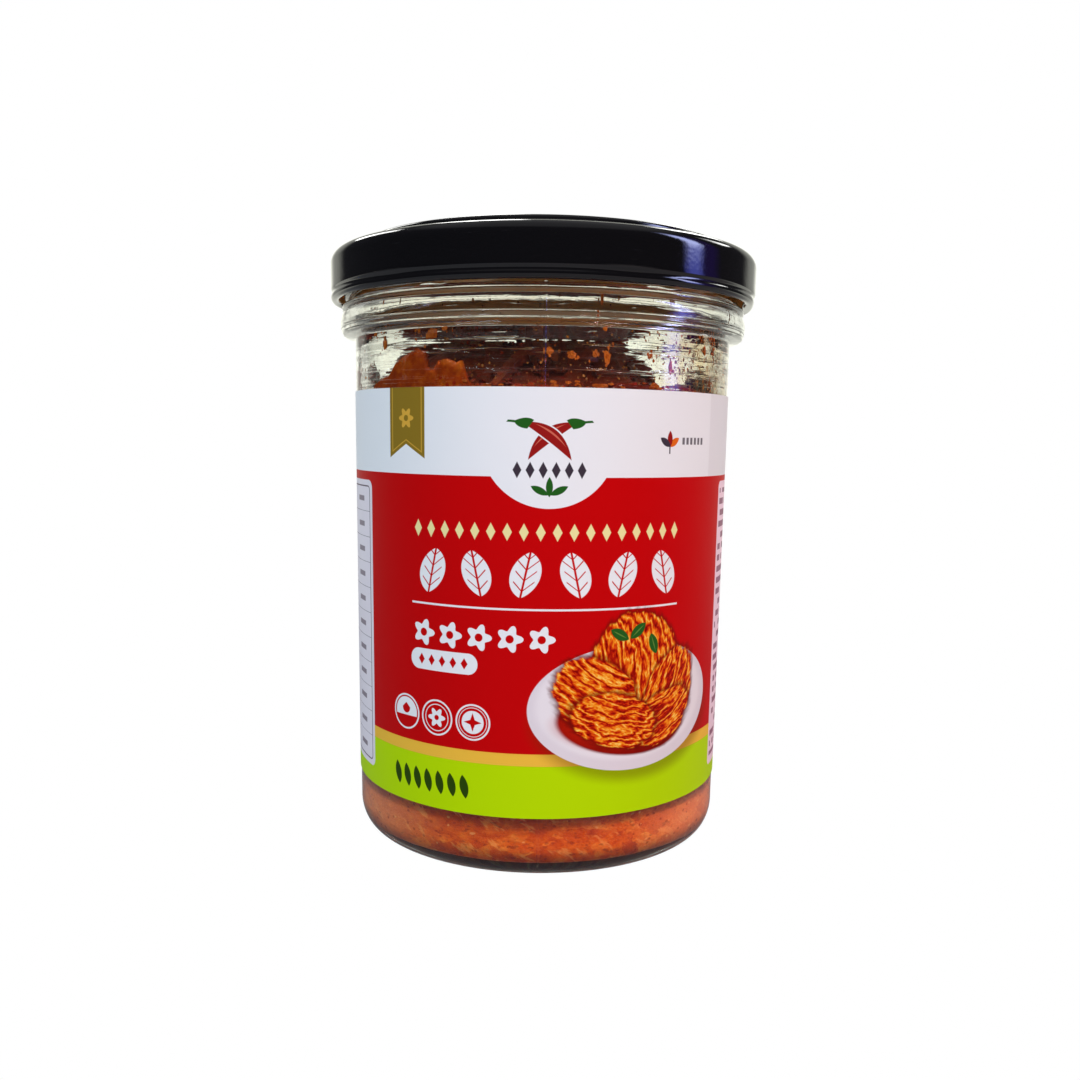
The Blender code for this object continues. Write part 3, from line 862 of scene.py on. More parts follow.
# Meshes


def arc(centre, semi_axes, start, end, steps):
    """Points along an elliptical arc in the half section, angles in degrees from +radius."""
    points = []
    for step in range(steps + 1):
        angle = math.radians(start + (end - start) * step / steps)
        radius = centre[0] + semi_axes[0] * math.cos(angle)
        height = centre[1] + semi_axes[1] * math.sin(angle)
        points.append((radius, height))
    return points


def dome(edge_radius, edge_height, rise, steps):
    """Points of a shallow dome, from the middle out to its edge."""
    points = []
    for step in range(steps + 1):
        share = step / steps
        points.append((edge_radius * share, edge_height + rise * (1.0 - share * share)))
    return points


def straight(start, end, steps):
    """Points from start to end, without either."""
    shares = [step / steps for step in range(1, steps)]
    return [tuple(a + (b - a) * share for a, b in zip(start, end)) for share in shares]


def add_piece(name, points, faces, finishes, node=None, face_finishes=None, marks=None):
    """Makes a piece of the object, rides it on the body and hides the imported part that it replaces."""
    mesh = bpy.data.meshes.new(name)
    mesh.from_pydata([tuple(point) for point in points], [], faces)
    mesh.validate()
    for finish in finishes:
        mesh.materials.append(finish)
    if face_finishes is not None:
        mesh.polygons.foreach_set("material_index", face_finishes)
    for mark, values in (marks or {}).items():
        attribute = mesh.attributes.new(mark, "FLOAT", "POINT")
        attribute.data.foreach_set("value", values)
    mesh.shade_smooth()
    mesh.set_sharp_from_angle(angle=math.radians(50.0))
    piece = bpy.data.objects.new(name, mesh)
    bpy.context.scene.collection.objects.link(piece)
    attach(piece, "root")
    if node is not None:
        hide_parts(node)


def turned(outline, turns, shape=None):
    """Points and faces of a half section spun round Z, from and back to points on the axis.

    shape(number, radius, height, turn) may move a point of the outline: it returns the new
    radius and height.
    """
    rings = outline[1:-1]
    count = len(turns)
    points = [(0.0, 0.0, outline[0][1])]
    for number, (radius, height) in enumerate(rings, start=1):
        for turn in turns:
            here = (radius, height) if shape is None else shape(number, radius, height, turn)
            points.append((here[0] * math.cos(turn), here[0] * math.sin(turn), here[1]))
    points.append((0.0, 0.0, outline[-1][1]))
    last = len(points) - 1
    faces = []
    for step in range(count):
        following = (step + 1) % count
        faces.append((0, 1 + following, 1 + step))
        base = 1 + (len(rings) - 1) * count
        faces.append((last, base + step, base + following))
    for ring in range(len(rings) - 1):
        near = 1 + ring * count
        far = near + count
        for step in range(count):
            following = (step + 1) % count
            faces.append((near + step, near + following, far + following, far + step))
    return points, faces


def even_turns(count):
    """Angles spread evenly round the axis."""
    return [math.tau * number / count for number in range(count)]


def angle_gap(first, second):
    """The signed turn from one angle to another, from -pi to pi."""
    return (first - second + math.pi) % math.tau - math.pi


def raised_cosine(offset, half_span):
    """1 in the middle of a bump, falling smoothly to 0 at its ends."""
    if abs(offset) >= half_span:
        return 0.0
    return 0.5 + 0.5 * math.cos(math.pi * offset / half_span)


def glass_outline():
    """Half section of the glass, and how many of its points are on the outside."""
    heel_centre = (FOOT_OUTER_RADIUS, HEEL_HEIGHT)
    heel_semi_axes = (BODY_RADIUS - FOOT_OUTER_RADIUS, HEEL_HEIGHT)
    rim_outer = (NECK_RADIUS - RIM_ROUND, RIM_HEIGHT - RIM_ROUND)
    rim_inner = (MOUTH_RADIUS + RIM_ROUND, RIM_HEIGHT - RIM_ROUND)
    heel_inside = (INNER_RADIUS - INNER_HEEL, BASE_THICKNESS + INNER_HEEL)
    outline = dome(FOOT_INNER_RADIUS, 0.0, PUSH_UP, 10)
    outline += arc(heel_centre, heel_semi_axes, -90, 0, 18)
    outline += straight((BODY_RADIUS, HEEL_HEIGHT), (BODY_RADIUS, FILLET_FOOT), 24)
    outline += neck_fillet()
    outline += bead_points(18)
    outline += groove()
    outline += arc(COLLAR_CENTRE, COLLAR_SEMI_AXES, *COLLAR_ARC, 12)
    neck_low = (NECK_RADIUS, COLLAR_CENTRE[1] + COLLAR_SEMI_AXES[1] + COLLAR_GAP)
    outline.append(neck_low)
    outline += straight(neck_low, (NECK_RADIUS, RIM_HEIGHT - RIM_ROUND), 26)
    outline += arc(rim_outer, (RIM_ROUND, RIM_ROUND), 0, 90, 6)
    outside = len(outline)
    outline += arc(rim_inner, (RIM_ROUND, RIM_ROUND), 90, 180, 6)
    outline += mouth_step()
    outline += straight((INNER_RADIUS, MOUTH_STEP_FOOT - 0.0004), (INNER_RADIUS, heel_inside[1]), 10)
    outline += arc(heel_inside, (INNER_HEEL, INNER_HEEL), 0, -90, 14)
    floor = dome(heel_inside[0], BASE_THICKNESS, PUSH_UP, 10)
    outline += reversed(floor[:-1])
    return outline, outside


def smooth(share):
    """A share from 0 to 1 that starts and ends gently."""
    return share * share * (3.0 - 2.0 * share)


def between(start, end, across, along):
    """The point of the half section at a share of the way out and a share of the way up."""
    return start[0] + (end[0] - start[0]) * across, start[1] + (end[1] - start[1]) * along


def blend_points(start, end, steps):
    """An S-shaped run between two points, level steps up."""
    shares = [step / steps for step in range(steps + 1)]
    return [between(start, end, smooth(share), share) for share in shares]


def bead_points(steps):
    """The bead's outline from its foot to its top: an oval with a flattened side."""
    points = []
    for step in range(steps + 1):
        angle = math.radians(BEAD_ARC[0] + (BEAD_ARC[1] - BEAD_ARC[0]) * step / steps)
        radius = BEAD_CENTRE[0] + BEAD_SEMI_AXES[0] * math.cos(angle) ** BEAD_SQUARENESS
        points.append((radius, BEAD_CENTRE[1] + BEAD_SEMI_AXES[1] * math.sin(angle)))
    return points


def neck_fillet():
    """The hollow curve from the body out to the bead."""
    end = bead_points(1)[0]
    shares = [step / FILLET_STEPS for step in range(FILLET_STEPS)]
    return [between((BODY_RADIUS, FILLET_FOOT), end, share ** FILLET_POWER, share) for share in shares]


def groove():
    """The rounded groove between the bead and the collar."""
    start = bead_points(1)[1]
    end = arc(COLLAR_CENTRE, COLLAR_SEMI_AXES, *COLLAR_ARC, 1)[0]
    points = []
    for radius, height in straight(start, end, GROOVE_STEPS):
        share = (height - start[1]) / (end[1] - start[1])
        points.append((radius - GROOVE_SAG * math.sin(math.pi * share), height))
    return points


def mouth_step():
    """The inside of the neck and its smooth step in to the body's inside."""
    top = (MOUTH_RADIUS, MOUTH_STEP_TOP)
    foot = (INNER_RADIUS, MOUTH_STEP_FOOT)
    return straight((MOUTH_RADIUS, RIM_HEIGHT - RIM_ROUND), top, 8) + blend_points(top, foot, 12)


def thread_depth(height, turn):
    """How far the slanted threads stand out of the neck at a point."""
    depth = 0.0
    for number in range(THREAD_COUNT):
        start = THREAD_START + number * math.tau / THREAD_COUNT
        along = angle_gap(turn, start + THREAD_SPAN / 2) / THREAD_SPAN
        middle = THREAD_LOW + THREAD_RISE * (along + 0.5)
        ridge = raised_cosine(height - middle, THREAD_HALF_WIDTH)
        depth += THREAD_DEPTH * raised_cosine(along, THREAD_HALF_REACH) ** 0.5 * ridge
    return depth


def make_glass():
    """The glass jar, with threads and mould seams."""
    outline, outside = glass_outline()
    turns = set(even_turns(GLASS_SEGMENTS))
    for seam in SEAM_TURNS:
        for step in range(-SEAM_STEPS, SEAM_STEPS + 1):
            turns.add((seam + SEAM_HALF_ANGLE * step / SEAM_STEPS) % math.tau)
    turns = sorted(turns)

    def shape(number, radius, height, turn):
        if number >= outside:
            return radius, height
        if height > COLLAR_CENTRE[1] and radius >= NECK_RADIUS - TINY:
            radius = max(radius, NECK_RADIUS + thread_depth(height, turn))
        if height > HEEL_HEIGHT * 0.5:
            for seam in SEAM_TURNS:
                radius += SEAM_PROUD * raised_cosine(angle_gap(turn, seam), SEAM_HALF_ANGLE)
        return radius, height

    points, faces = turned(outline, turns, shape)
    add_piece("glass_jar", points, faces, [glass_finish()], "jar")


def panel_points(lowered, steps):
    """The cap's top, from its middle out to the foot of the raised panel."""
    top = PANEL_HEIGHT - lowered
    sunk = top - PANEL_SINK
    edge = lowered * 0.7
    button = BUTTON_RADIUS - edge
    ring = PANEL_RADIUS - PANEL_RING_WIDTH + edge
    outer = PANEL_RADIUS - edge
    channel = CHANNEL_HEIGHT - lowered
    points = [(0.0, sunk - BUTTON_SINK)]
    points += straight((0.0, sunk - BUTTON_SINK), (button, sunk - BUTTON_SINK), 6)
    points += blend_flat((button, sunk - BUTTON_SINK), (button + BUTTON_SLOPE, sunk), steps)
    points += straight((button + BUTTON_SLOPE, sunk), (ring - PANEL_SLOPE, sunk), 8)
    points += blend_flat((ring - PANEL_SLOPE, sunk), (ring, top), steps)
    edge_round = (PANEL_ROUND, PANEL_ROUND)
    points += arc((outer - PANEL_ROUND, top - PANEL_ROUND), edge_round, 90, 12, steps)
    points += blend_flat((outer + 0.00005, top - 0.0010), (CHANNEL_RADIUS - edge, channel), steps, 0.55)
    return points


def blend_flat(start, end, steps, power=1.0):
    """An S-shaped run that leaves and arrives level."""
    shares = [step / steps for step in range(steps + 1)]
    return [between(start, end, share, smooth(share) ** power) for share in shares]


def cap_outline():
    """Half section of the cap, and how many of its points are on the outside."""
    shoulder = (SKIRT_RADIUS - SHOULDER_ROUND, CHANNEL_HEIGHT - SHOULDER_ROUND)
    inner_round = SHOULDER_ROUND - SHEET
    outline = panel_points(0.0, 8)
    outline += arc(shoulder, (SHOULDER_ROUND, SHOULDER_ROUND), 90, 0, 16)
    skirt_top = (SKIRT_RADIUS, shoulder[1])
    skirt_foot = (SKIRT_RADIUS, SKIRT_FOOT)
    outline += straight(skirt_top, skirt_foot, 6)
    pinch = (SKIRT_RADIUS - PINCH, SKIRT_FOOT - PINCH_DROP)
    outline += blend_points(skirt_foot, pinch, 6)
    outline += arc(CURL_CENTRE, (CURL_RADIUS, CURL_RADIUS), *CURL_OUTER_ARC, 12)
    outside = len(outline)
    outline += arc(CURL_CENTRE, (CURL_RADIUS, CURL_RADIUS), *CURL_INNER_ARC, 10)
    outline.append((SKIRT_RADIUS - SHEET, SKIRT_FOOT))
    outline += arc(shoulder, (inner_round, inner_round), 0, 90, 6)
    outline += reversed(panel_points(SHEET, 4))
    return outline, outside


def make_cap():
    """The twist-off cap: black outside, tan lacquer inside, its curl pressed in at the lugs."""
    outline, outside = cap_outline()

    def shape(number, radius, height, turn):
        if height > SKIRT_FOOT:
            return radius, height
        depth = min(1.0, (SKIRT_FOOT - height) / LUG_TAPER)
        inward = LUG_REACH if radius < CURL_CENTRE[0] else LUG_DENT
        for lug in range(LUG_COUNT):
            middle = LUG_ANGLE + lug * math.tau / LUG_COUNT
            radius -= inward * depth * raised_cosine(angle_gap(turn, middle), LUG_HALF_SPAN)
        return radius, height

    turns = even_turns(CAP_SEGMENTS)
    points, faces = turned(outline, turns, shape)
    count = len(turns)
    first_inside = 1 + (outside + 4) * count
    inner = [int(min(face) >= first_inside) for face in faces]
    finishes = [lacquer_finish(), inside_lacquer_finish()]
    add_piece("screw_cap", points, faces, finishes, "lid", inner)


def make_label():
    """The paper strip: once round the glass, its end lapped over its start at the back."""
    inner = LABEL_RADIUS - PAPER_DEPTH
    steps = LABEL_STEPS
    rows = LABEL_ROWS
    span = math.tau + LAP
    points = []
    for layer in (0.0, PAPER):
        for step in range(steps + 1):
            angle = span * step / steps
            past = max(0.0, angle - math.tau + LAP_RISE)
            lift = (PAPER + LAP_GAP) * min(1.0, past / LAP_RISE)
            radius = inner + layer + lift
            turn = SEAM_TURN - LAP / 2 + angle
            for row in range(rows + 1):
                height = LABEL_FOOT + (LABEL_TOP - LABEL_FOOT) * row / rows
                points.append((radius * math.cos(turn), radius * math.sin(turn), height))
    stride = rows + 1
    outer = (steps + 1) * stride
    faces = []
    kinds = []
    for step in range(steps):
        for row in range(rows):
            corner = step * stride + row
            face = (corner, corner + stride, corner + stride + 1, corner + 1)
            faces.append(tuple(reversed(face)))
            kinds.append(1)
            faces.append(tuple(number + outer for number in face))
            kinds.append(0)
        foot = step * stride
        top = foot + rows
        faces.append((foot, foot + outer, foot + outer + stride, foot + stride)[::-1])
        faces.append((top, top + stride, top + outer + stride, top + outer)[::-1])
        kinds += [1, 1]
    end = steps * stride
    for row in range(rows):
        faces.append((row, row + 1, row + 1 + outer, row + outer)[::-1])
        faces.append((end + row, end + row + outer, end + row + 1 + outer, end + row + 1)[::-1])
        kinds += [1, 1]
    finishes = [label_finish(), paper_back_finish()]
    add_piece("wrap_label", points, faces, finishes, "label", kinds)


# Kimchi


def blend(value, low, high):
    """0 below low, 1 above high and smooth between."""
    return smooth(min(1.0, max(0.0, (value - low) / (high - low))))


def mound_height(x, y):
    """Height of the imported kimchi's uneven top over a point of the floor."""
    reach = math.hypot(x - MOUND_MIDDLE, y)
    rise = MOUND_RISE * (1.0 - blend(reach, MOUND_TOP_RADIUS, MOUND_FOOT_RADIUS))
    lump = noise.noise(Vector((x * 90.0, y * 90.0, 4.0)))
    return FILL_HEIGHT + rise + MOUND_BUMP * lump


def fold_height(x, y):
    """Ragged folds of shredded leaf on the mound."""
    point = Vector((x * 230.0, y * 230.0, 1.0))
    ridge = 1.0 - abs(noise.noise(point)) * 2.0
    fine = noise.noise(point * 2.7)
    return FOLD_HEIGHT * ridge + 0.0004 * fine


def make_mash():
    """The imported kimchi, reaching just into the glass, with a folded top."""
    radius = INNER_RADIUS + INTO_WALL
    heel = (INNER_RADIUS - INNER_HEEL, BASE_THICKNESS + INNER_HEEL)
    heel_round = INNER_HEEL + INTO_WALL
    floor = dome(heel[0], BASE_THICKNESS - INTO_WALL, PUSH_UP, 8)
    outline = floor[:-1] + arc(heel, (heel_round, heel_round), -90, 0, 14)
    outline += straight((radius, heel[1]), (radius, FILL_HEIGHT), 30)
    top_start = len(outline)
    shares = [1.0 - step / MASH_RINGS for step in range(MASH_RINGS + 1)]
    outline += [(radius * share, FILL_HEIGHT) for share in shares]

    def shape(number, ring_radius, height, turn):
        if number < top_start:
            return ring_radius, height
        x = ring_radius * math.cos(turn)
        y = ring_radius * math.sin(turn)
        edge = min(1.0, (radius - ring_radius) / MASH_EDGE)
        wobble = noise.noise(Vector((math.cos(turn) * 3.0, math.sin(turn) * 3.0, 7.0)))
        climb = FILL_WOBBLE * (1.0 - edge) * wobble
        return ring_radius, mound_height(x, y) + edge * fold_height(x, y) + climb

    points, faces = turned(outline, even_turns(MASH_SEGMENTS), shape)
    x, y, z = points[-1]
    points[-1] = (x, y, mound_height(0.0, 0.0) + fold_height(0.0, 0.0))
    add_piece("kimchi_mash", points, faces, [mash_finish()], "kimchi")


RAGGED = (0.7, 1.15)
CHIP_BEVEL = 0.75
CHIP_EDGE = 0.7
CHIP_BELOW = 0.3


class Scatter:
    """Many small closed solids gathered into one mesh."""

    def __init__(self):
        self.points = []
        self.faces = []
        self.tones = []
        self.veins = []

    def sheet(self, columns, rows, place, thickness, tone, vein):
        """A wavy sheet, split alike on both faces. place(u, v) gives a point and its outward side."""
        start = len(self.points)
        stride = rows + 1
        layer = (columns + 1) * stride
        for side in (0.5, -0.5):
            for column in range(columns + 1):
                for row in range(rows + 1):
                    u = column / columns
                    v = row / rows
                    point, outward = place(u, v)
                    self.points.append(tuple(point + outward * thickness(u, v) * side))
                    self.tones.append(tone)
                    self.veins.append(vein(u, v))
        for column in range(columns):
            for row in range(rows):
                corner = start + column * stride + row
                face = (corner, corner + stride, corner + stride + 1, corner + 1)
                self.faces.append(face)
                self.faces.append(tuple(reversed([number + layer for number in face])))
        border = [column * stride for column in range(columns)]
        border += [columns * stride + row for row in range(rows)]
        border += [column * stride + rows for column in range(columns, 0, -1)]
        border += list(range(rows, 0, -1))
        for first, second in zip(border, border[1:] + border[:1]):
            low = start + first
            high = start + second
            self.faces.append((low + layer, high + layer, high, low))

    def chip(self, point, outward, heading, length, width, thickness, tone, sides, draw):
        """A flat chip with a ragged round outline, domed on its outer side."""
        along = (heading - outward * heading.dot(outward)).normalized()
        across = outward.cross(along)
        start = len(self.points)
        for number in range(sides):
            turn = math.tau * number / sides
            ragged = draw.uniform(*RAGGED)
            offset = along * math.cos(turn) * length / 2 * ragged
            offset += across * math.sin(turn) * width / 2 * ragged
            self.points.append(tuple(point + offset))
            self.points.append(tuple(point + offset * CHIP_BEVEL + outward * thickness * CHIP_EDGE))
        self.points.append(tuple(point + outward * thickness))
        self.points.append(tuple(point - outward * thickness * CHIP_BELOW))
        top = start + 2 * sides
        for number in range(sides):
            low = start + 2 * number
            following = start + 2 * ((number + 1) % sides)
            self.faces.append((low, following, following + 1, low + 1))
            self.faces.append((low + 1, following + 1, top))
            self.faces.append((following, low, top + 1))
        self.tones += [tone] * (2 * sides + 2)
        self.veins += [0.0] * (2 * sides + 2)

    def piece(self, name, finish):
        """Makes the gathered solids one piece of the object."""
        marks = {"tone": self.tones, "vein": self.veins}
        add_piece(name, self.points, self.faces, [finish], "kimchi", None, marks)


def inside_glass(point, margin):
    """Moves a point in from the glass wall."""
    reach = math.hypot(point.x, point.y)
    limit = INNER_RADIUS - margin
    if reach > limit:
        point.x *= limit / reach
        point.y *= limit / reach
    return point


PRESSED_THICKNESS = 0.0014
SHRED_THICKNESS = 0.0013
CHIP_THICKNESS = 0.00035
# Cut cabbage on the mound: turn about the axis, distance from it, length, width, in degrees and mm
LEAVES = (
    (-128, 17, 27, 22),
    (-92, 15, 25, 21),
    (-58, 17, 26, 20),
    (-20, 18, 27, 22),
    (18, 17, 24, 20),
    (58, 18, 26, 21),
    (97, 16, 25, 22),
    (140, 18, 26, 21),
    (-165, 17, 25, 20),
    (-80, 3, 26, 23),
    (75, 5, 23, 20),
)
# Top edge of the bright piece against the front left of the glass, from its left end to its right
BRIGHT_LEAF = (
    (-63.0, 87.6),
    (-58.0, 90.3),
    (-50.0, 91.6),
    (-47.5, 93.6),
    (-43.0, 94.8),
    (-38.5, 95.8),
    (-35.2, 95.3),
    (-34.4, 92.6),
    (-32.4, 92.2),
    (-30.8, 93.6),
    (-27.5, 93.9),
    (-25.0, 93.3),
    (-22.8, 93.5),
    (-21.4, 90.8),
    (-19.5, 88.6),
)
# Pieces against the glass: turn about the axis, height of the middle, length round, height
WALL_LEAVES = (
    (-92, 86.6, 16, 6),
    (-64, 86.8, 15, 6),
    (-30, 85, 12, 6),
    (8, 90, 18, 9),
    (47, 88, 14, 6),
    (88, 90, 20, 10),
    (130, 89, 16, 7),
    (-172, 90, 17, 9),
)


def lay_leaf(leaves, turn, distance, length, width, lift, tone):
    """A cut cabbage leaf over the mound: thick along its rib, ragged and puckered at its edge."""
    along = Vector((math.cos(turn), math.sin(turn), 0.0))
    across = Vector((-along.y, along.x, 0.0))
    shift = Vector((turn * 7.0, distance * 900.0, length * 500.0))

    def place(u, v):
        ragged = 1.0 + 0.16 * noise.noise(Vector((u * 3.0, v * 3.0, 0.0)) + shift)
        ragged += 0.05 * noise.noise(Vector((u * 13.0, v * 13.0, 0.0)) + shift)
        ahead = (u - 0.5) * length * ragged
        aside = (v - 0.5) * width * ragged * (1.0 - 0.25 * (2.0 * u - 1.0) ** 2)
        point = inside_glass(along * (distance + ahead) + across * aside, 0.0010)
        wave = 0.0011 * math.sin(7.0 * v + turn * 3.0) + 0.0007 * math.sin(9.0 * u + turn)
        wave += 0.0007 * noise.noise(Vector((u * 8.0, v * 8.0, 3.0)) + shift)
        point.z = mound_height(point.x, point.y) + lift + 0.0008 + wave
        slope = Vector((point.x, point.y, 0.0)) * 12.0
        return point, (UPRIGHT + slope).normalized()

    def rib(u, v):
        return max(0.0, 1.0 - abs(v - 0.5) * 5.0) * (1.0 - 0.6 * u)

    def thickness(u, v):
        edge = min(1.0, 8.0 * min(u, 1.0 - u, v, 1.0 - v) + 0.25)
        return (0.0008 + 0.0018 * rib(u, v)) * edge

    leaves.sheet(26, 20, place, thickness, tone, rib)


def press_leaf(leaves, turn, height, length, tall, tone):
    """A piece pressed flat against the inside of the glass, a little into the wall."""
    shift = Vector((turn * 5.0, height * 300.0, 0.0))
    middle = INNER_RADIUS + INTO_WALL * 0.6 - PRESSED_THICKNESS / 2

    def place(u, v):
        ragged = 1.0 + 0.30 * noise.noise(Vector((u * 2.5, v * 2.5, 0.0)) + shift)
        ragged += 0.12 * noise.noise(Vector((u * 11.0, v * 9.0, 0.0)) + shift)
        narrow = 1.0 - 0.35 * (2.0 * u - 1.0) ** 2
        angle = turn + (u - 0.5) * length * ragged / middle
        level = height + (v - 0.5) * tall * ragged * narrow
        return against_glass(angle, level, middle, shift)

    def rib(u, v):
        return max(0.0, 0.8 - abs(v - 0.3) * 3.2)

    leaves.sheet(36, 20, place, pressed_thickness, tone, rib)


def against_glass(angle, level, middle, shift):
    """A point of a pressed piece, which lifts off the glass here and there."""
    outward = Vector((math.cos(angle), math.sin(angle), 0.0))
    lift = noise.noise(Vector((angle * 14.0, level * 500.0, 9.0)) + shift)
    point = outward * (middle - 0.0004 * max(0.0, lift))
    point.z = level
    return point, outward


def pressed_thickness(u, v):
    """Thickness of a pressed piece, thinner at its edges."""
    return PRESSED_THICKNESS * min(1.0, 7.0 * min(u, 1.0 - u, v, 1.0 - v) + 0.3)


def press_bright_leaf(leaves):
    """The bright cabbage leaf at the front left, lobed along its top."""
    turns = [turn for turn, top in BRIGHT_LEAF]
    tops = [top for turn, top in BRIGHT_LEAF]
    middle = INNER_RADIUS + INTO_WALL * 0.8 - PRESSED_THICKNESS / 2
    foot = LABEL_TOP - 0.004

    def place(u, v):
        turn = turns[0] + (turns[-1] - turns[0]) * u
        top = float(np.interp(turn, turns, tops)) * MM
        frill = noise.noise(Vector((u * 40.0, 0.0, 5.0))) * 0.0002
        level = foot + (top + frill - foot) * v
        return against_glass(math.radians(turn - 90.0), level, middle, Vector((3.0, 1.0, 0.0)))

    def vein(u, v):
        return max(0.0, 1.0 - abs(u - 0.42 - 0.1 * v) * 14.0) * (1.0 - v)

    leaves.sheet(96, 22, place, pressed_thickness, 0.75, vein)


def make_leaves():
    """The cut cabbage over the mound, the pieces pressed to the glass and the bright leaf."""
    draw = random.Random(5)
    leaves = Scatter()
    for number, (turn, distance, length, width) in enumerate(LEAVES):
        lift = 0.0004 + 0.0003 * (number % 3)
        size = (distance * MM, length * MM, width * MM)
        lay_leaf(leaves, math.radians(turn), *size, lift, draw.uniform(0.0, 0.6))
    for number in range(SMALL_LEAF_COUNT):
        turn = draw.uniform(0.0, math.tau)
        distance = draw.uniform(0.004, 0.020)
        size = (distance, draw.uniform(0.009, 0.015), draw.uniform(0.006, 0.011))
        lay_leaf(leaves, turn, *size, 0.0012 + 0.0004 * (number % 4), draw.uniform(0.1, 0.9))
    # The leaves on the mound are given dark colours: painted shade for the shadow under the cap.
    leaves.piece("cabbage_leaves", leaf_finish("cabbage_leaf", (
        (0.2, from_screen(68, 18, 8)),
        (0.5, from_screen(104, 38, 20)),
        (0.85, from_screen(142, 66, 36)),
    ), from_screen(150, 78, 48), 0.3, 0.6))
    pressed = Scatter()
    for turn, height, length, tall in WALL_LEAVES:
        size = (height * MM, length * MM, tall * MM)
        press_leaf(pressed, math.radians(turn), *size, draw.uniform(0.1, 0.7))
    pressed.piece("pressed_leaves", leaf_finish("pressed_leaf", (
        (0.2, from_screen(72, 14, 4)),
        (0.5, from_screen(106, 28, 10)),
        (0.85, from_screen(146, 52, 18)),
    ), from_screen(150, 64, 28), 0.4, 0.25))
    bright = Scatter()
    press_bright_leaf(bright)
    bright.piece("bright_leaf", leaf_finish("bright_leaf", (
        (0.45, from_screen(96, 20, 0)),
        (0.62, from_screen(136, 46, 0)),
        (0.85, from_screen(184, 92, 8)),
    ), from_screen(206, 124, 26), 0.12, 0.15))


def make_strips():
    """Shreds of radish and green onion lying over the mound."""
    draw = random.Random(11)
    strips = Scatter()
    for number in range(SHRED_COUNT):
        turn = draw.uniform(0.0, math.tau)
        distance = draw.uniform(0.004, 0.027)
        middle = Vector((math.cos(turn), math.sin(turn), 0.0)) * distance
        heading = draw.uniform(0.0, math.pi)
        reach = Vector((math.cos(heading), math.sin(heading), 0.0)) * draw.uniform(0.005, 0.010)
        side = Vector((-math.sin(heading), math.cos(heading), 0.0))
        bend = draw.uniform(-0.003, 0.003)
        width = draw.uniform(0.0012, 0.0021)
        lift = 0.0018 + 0.0004 * (number % 3)

        def place(u, v):
            point = middle + reach * (2.0 * u - 1.0) + side * bend * math.sin(math.pi * u)
            point += side * (v - 0.5) * width
            inside_glass(point, 0.0012)
            point.z = mound_height(point.x, point.y) + lift + 0.0005 * math.sin(8.0 * u + turn)
            return point, UPRIGHT

        def thickness(u, v):
            return SHRED_THICKNESS * min(1.0, 6.0 * min(u, 1.0 - u) + 0.4)

        strips.sheet(14, 4, place, thickness, draw.uniform(0.0, 1.0), lambda u, v: 0.0)
    strips.piece("vegetable_strips", leaf_finish("vegetable_strip", (
        (0.2, from_screen(88, 30, 16)),
        (0.5, from_screen(128, 52, 28)),
        (0.85, from_screen(160, 92, 56)),
    ), from_screen(160, 92, 56), 0.2, 0.6))


def make_flakes():
    """Chilli flakes and seeds on the mound."""
    draw = random.Random(23)
    flakes = Scatter()
    for number in range(FLAKE_COUNT):
        turn = draw.uniform(0.0, math.tau)
        distance = 0.034 * math.sqrt(draw.random())
        point = Vector((math.cos(turn) * distance, math.sin(turn) * distance, 0.0))
        point.z = mound_height(point.x, point.y) + draw.uniform(0.0010, 0.0028)
        outward = Vector((draw.uniform(-0.5, 0.5), draw.uniform(-0.5, 0.5), 1.0)).normalized()
        heading = Vector((draw.uniform(-1.0, 1.0), draw.uniform(-1.0, 1.0), 0.01))
        size = draw.uniform(0.0006, 0.0019)
        flakes.chip(point, outward, heading, size, size * 0.7, CHIP_THICKNESS, draw.random(), 6, draw)
    colours = (from_screen(84, 10, 4), from_screen(150, 50, 18))
    flakes.piece("chilli_flakes", fleck_finish("chilli_flake", *colours))


def wall_point(turn, height):
    """A point on the inside of the glass and the direction from it to the axis."""
    step = blend(height, MOUTH_STEP_FOOT, MOUTH_STEP_TOP)
    reach = INNER_RADIUS + (MOUTH_RADIUS - INNER_RADIUS) * step
    outward = Vector((math.cos(turn), math.sin(turn), 0.0))
    point = outward * (reach + 0.00004)
    point.z = height
    return point, -outward


def add_smear(flecks, draw, turn, height, across, tall):
    """A ragged smear of sauce on the glass, with small drops round it."""
    point, inward = wall_point(turn, height)
    tone = draw.uniform(0.3, 1.0)
    flecks.chip(point, inward, UPRIGHT, tall, across, CHIP_THICKNESS, tone, 15, draw)
    for number in range(int(draw.uniform(3, 8))):
        aside = draw.gauss(0.0, 0.7) * across / INNER_RADIUS
        above = draw.gauss(0.0, 0.6) * tall
        size = draw.uniform(0.0002, 0.0006)
        point, inward = wall_point(turn + aside, height + above)
        flecks.chip(point, inward, UPRIGHT, size * 1.4, size, size * 0.4, tone, 7, draw)


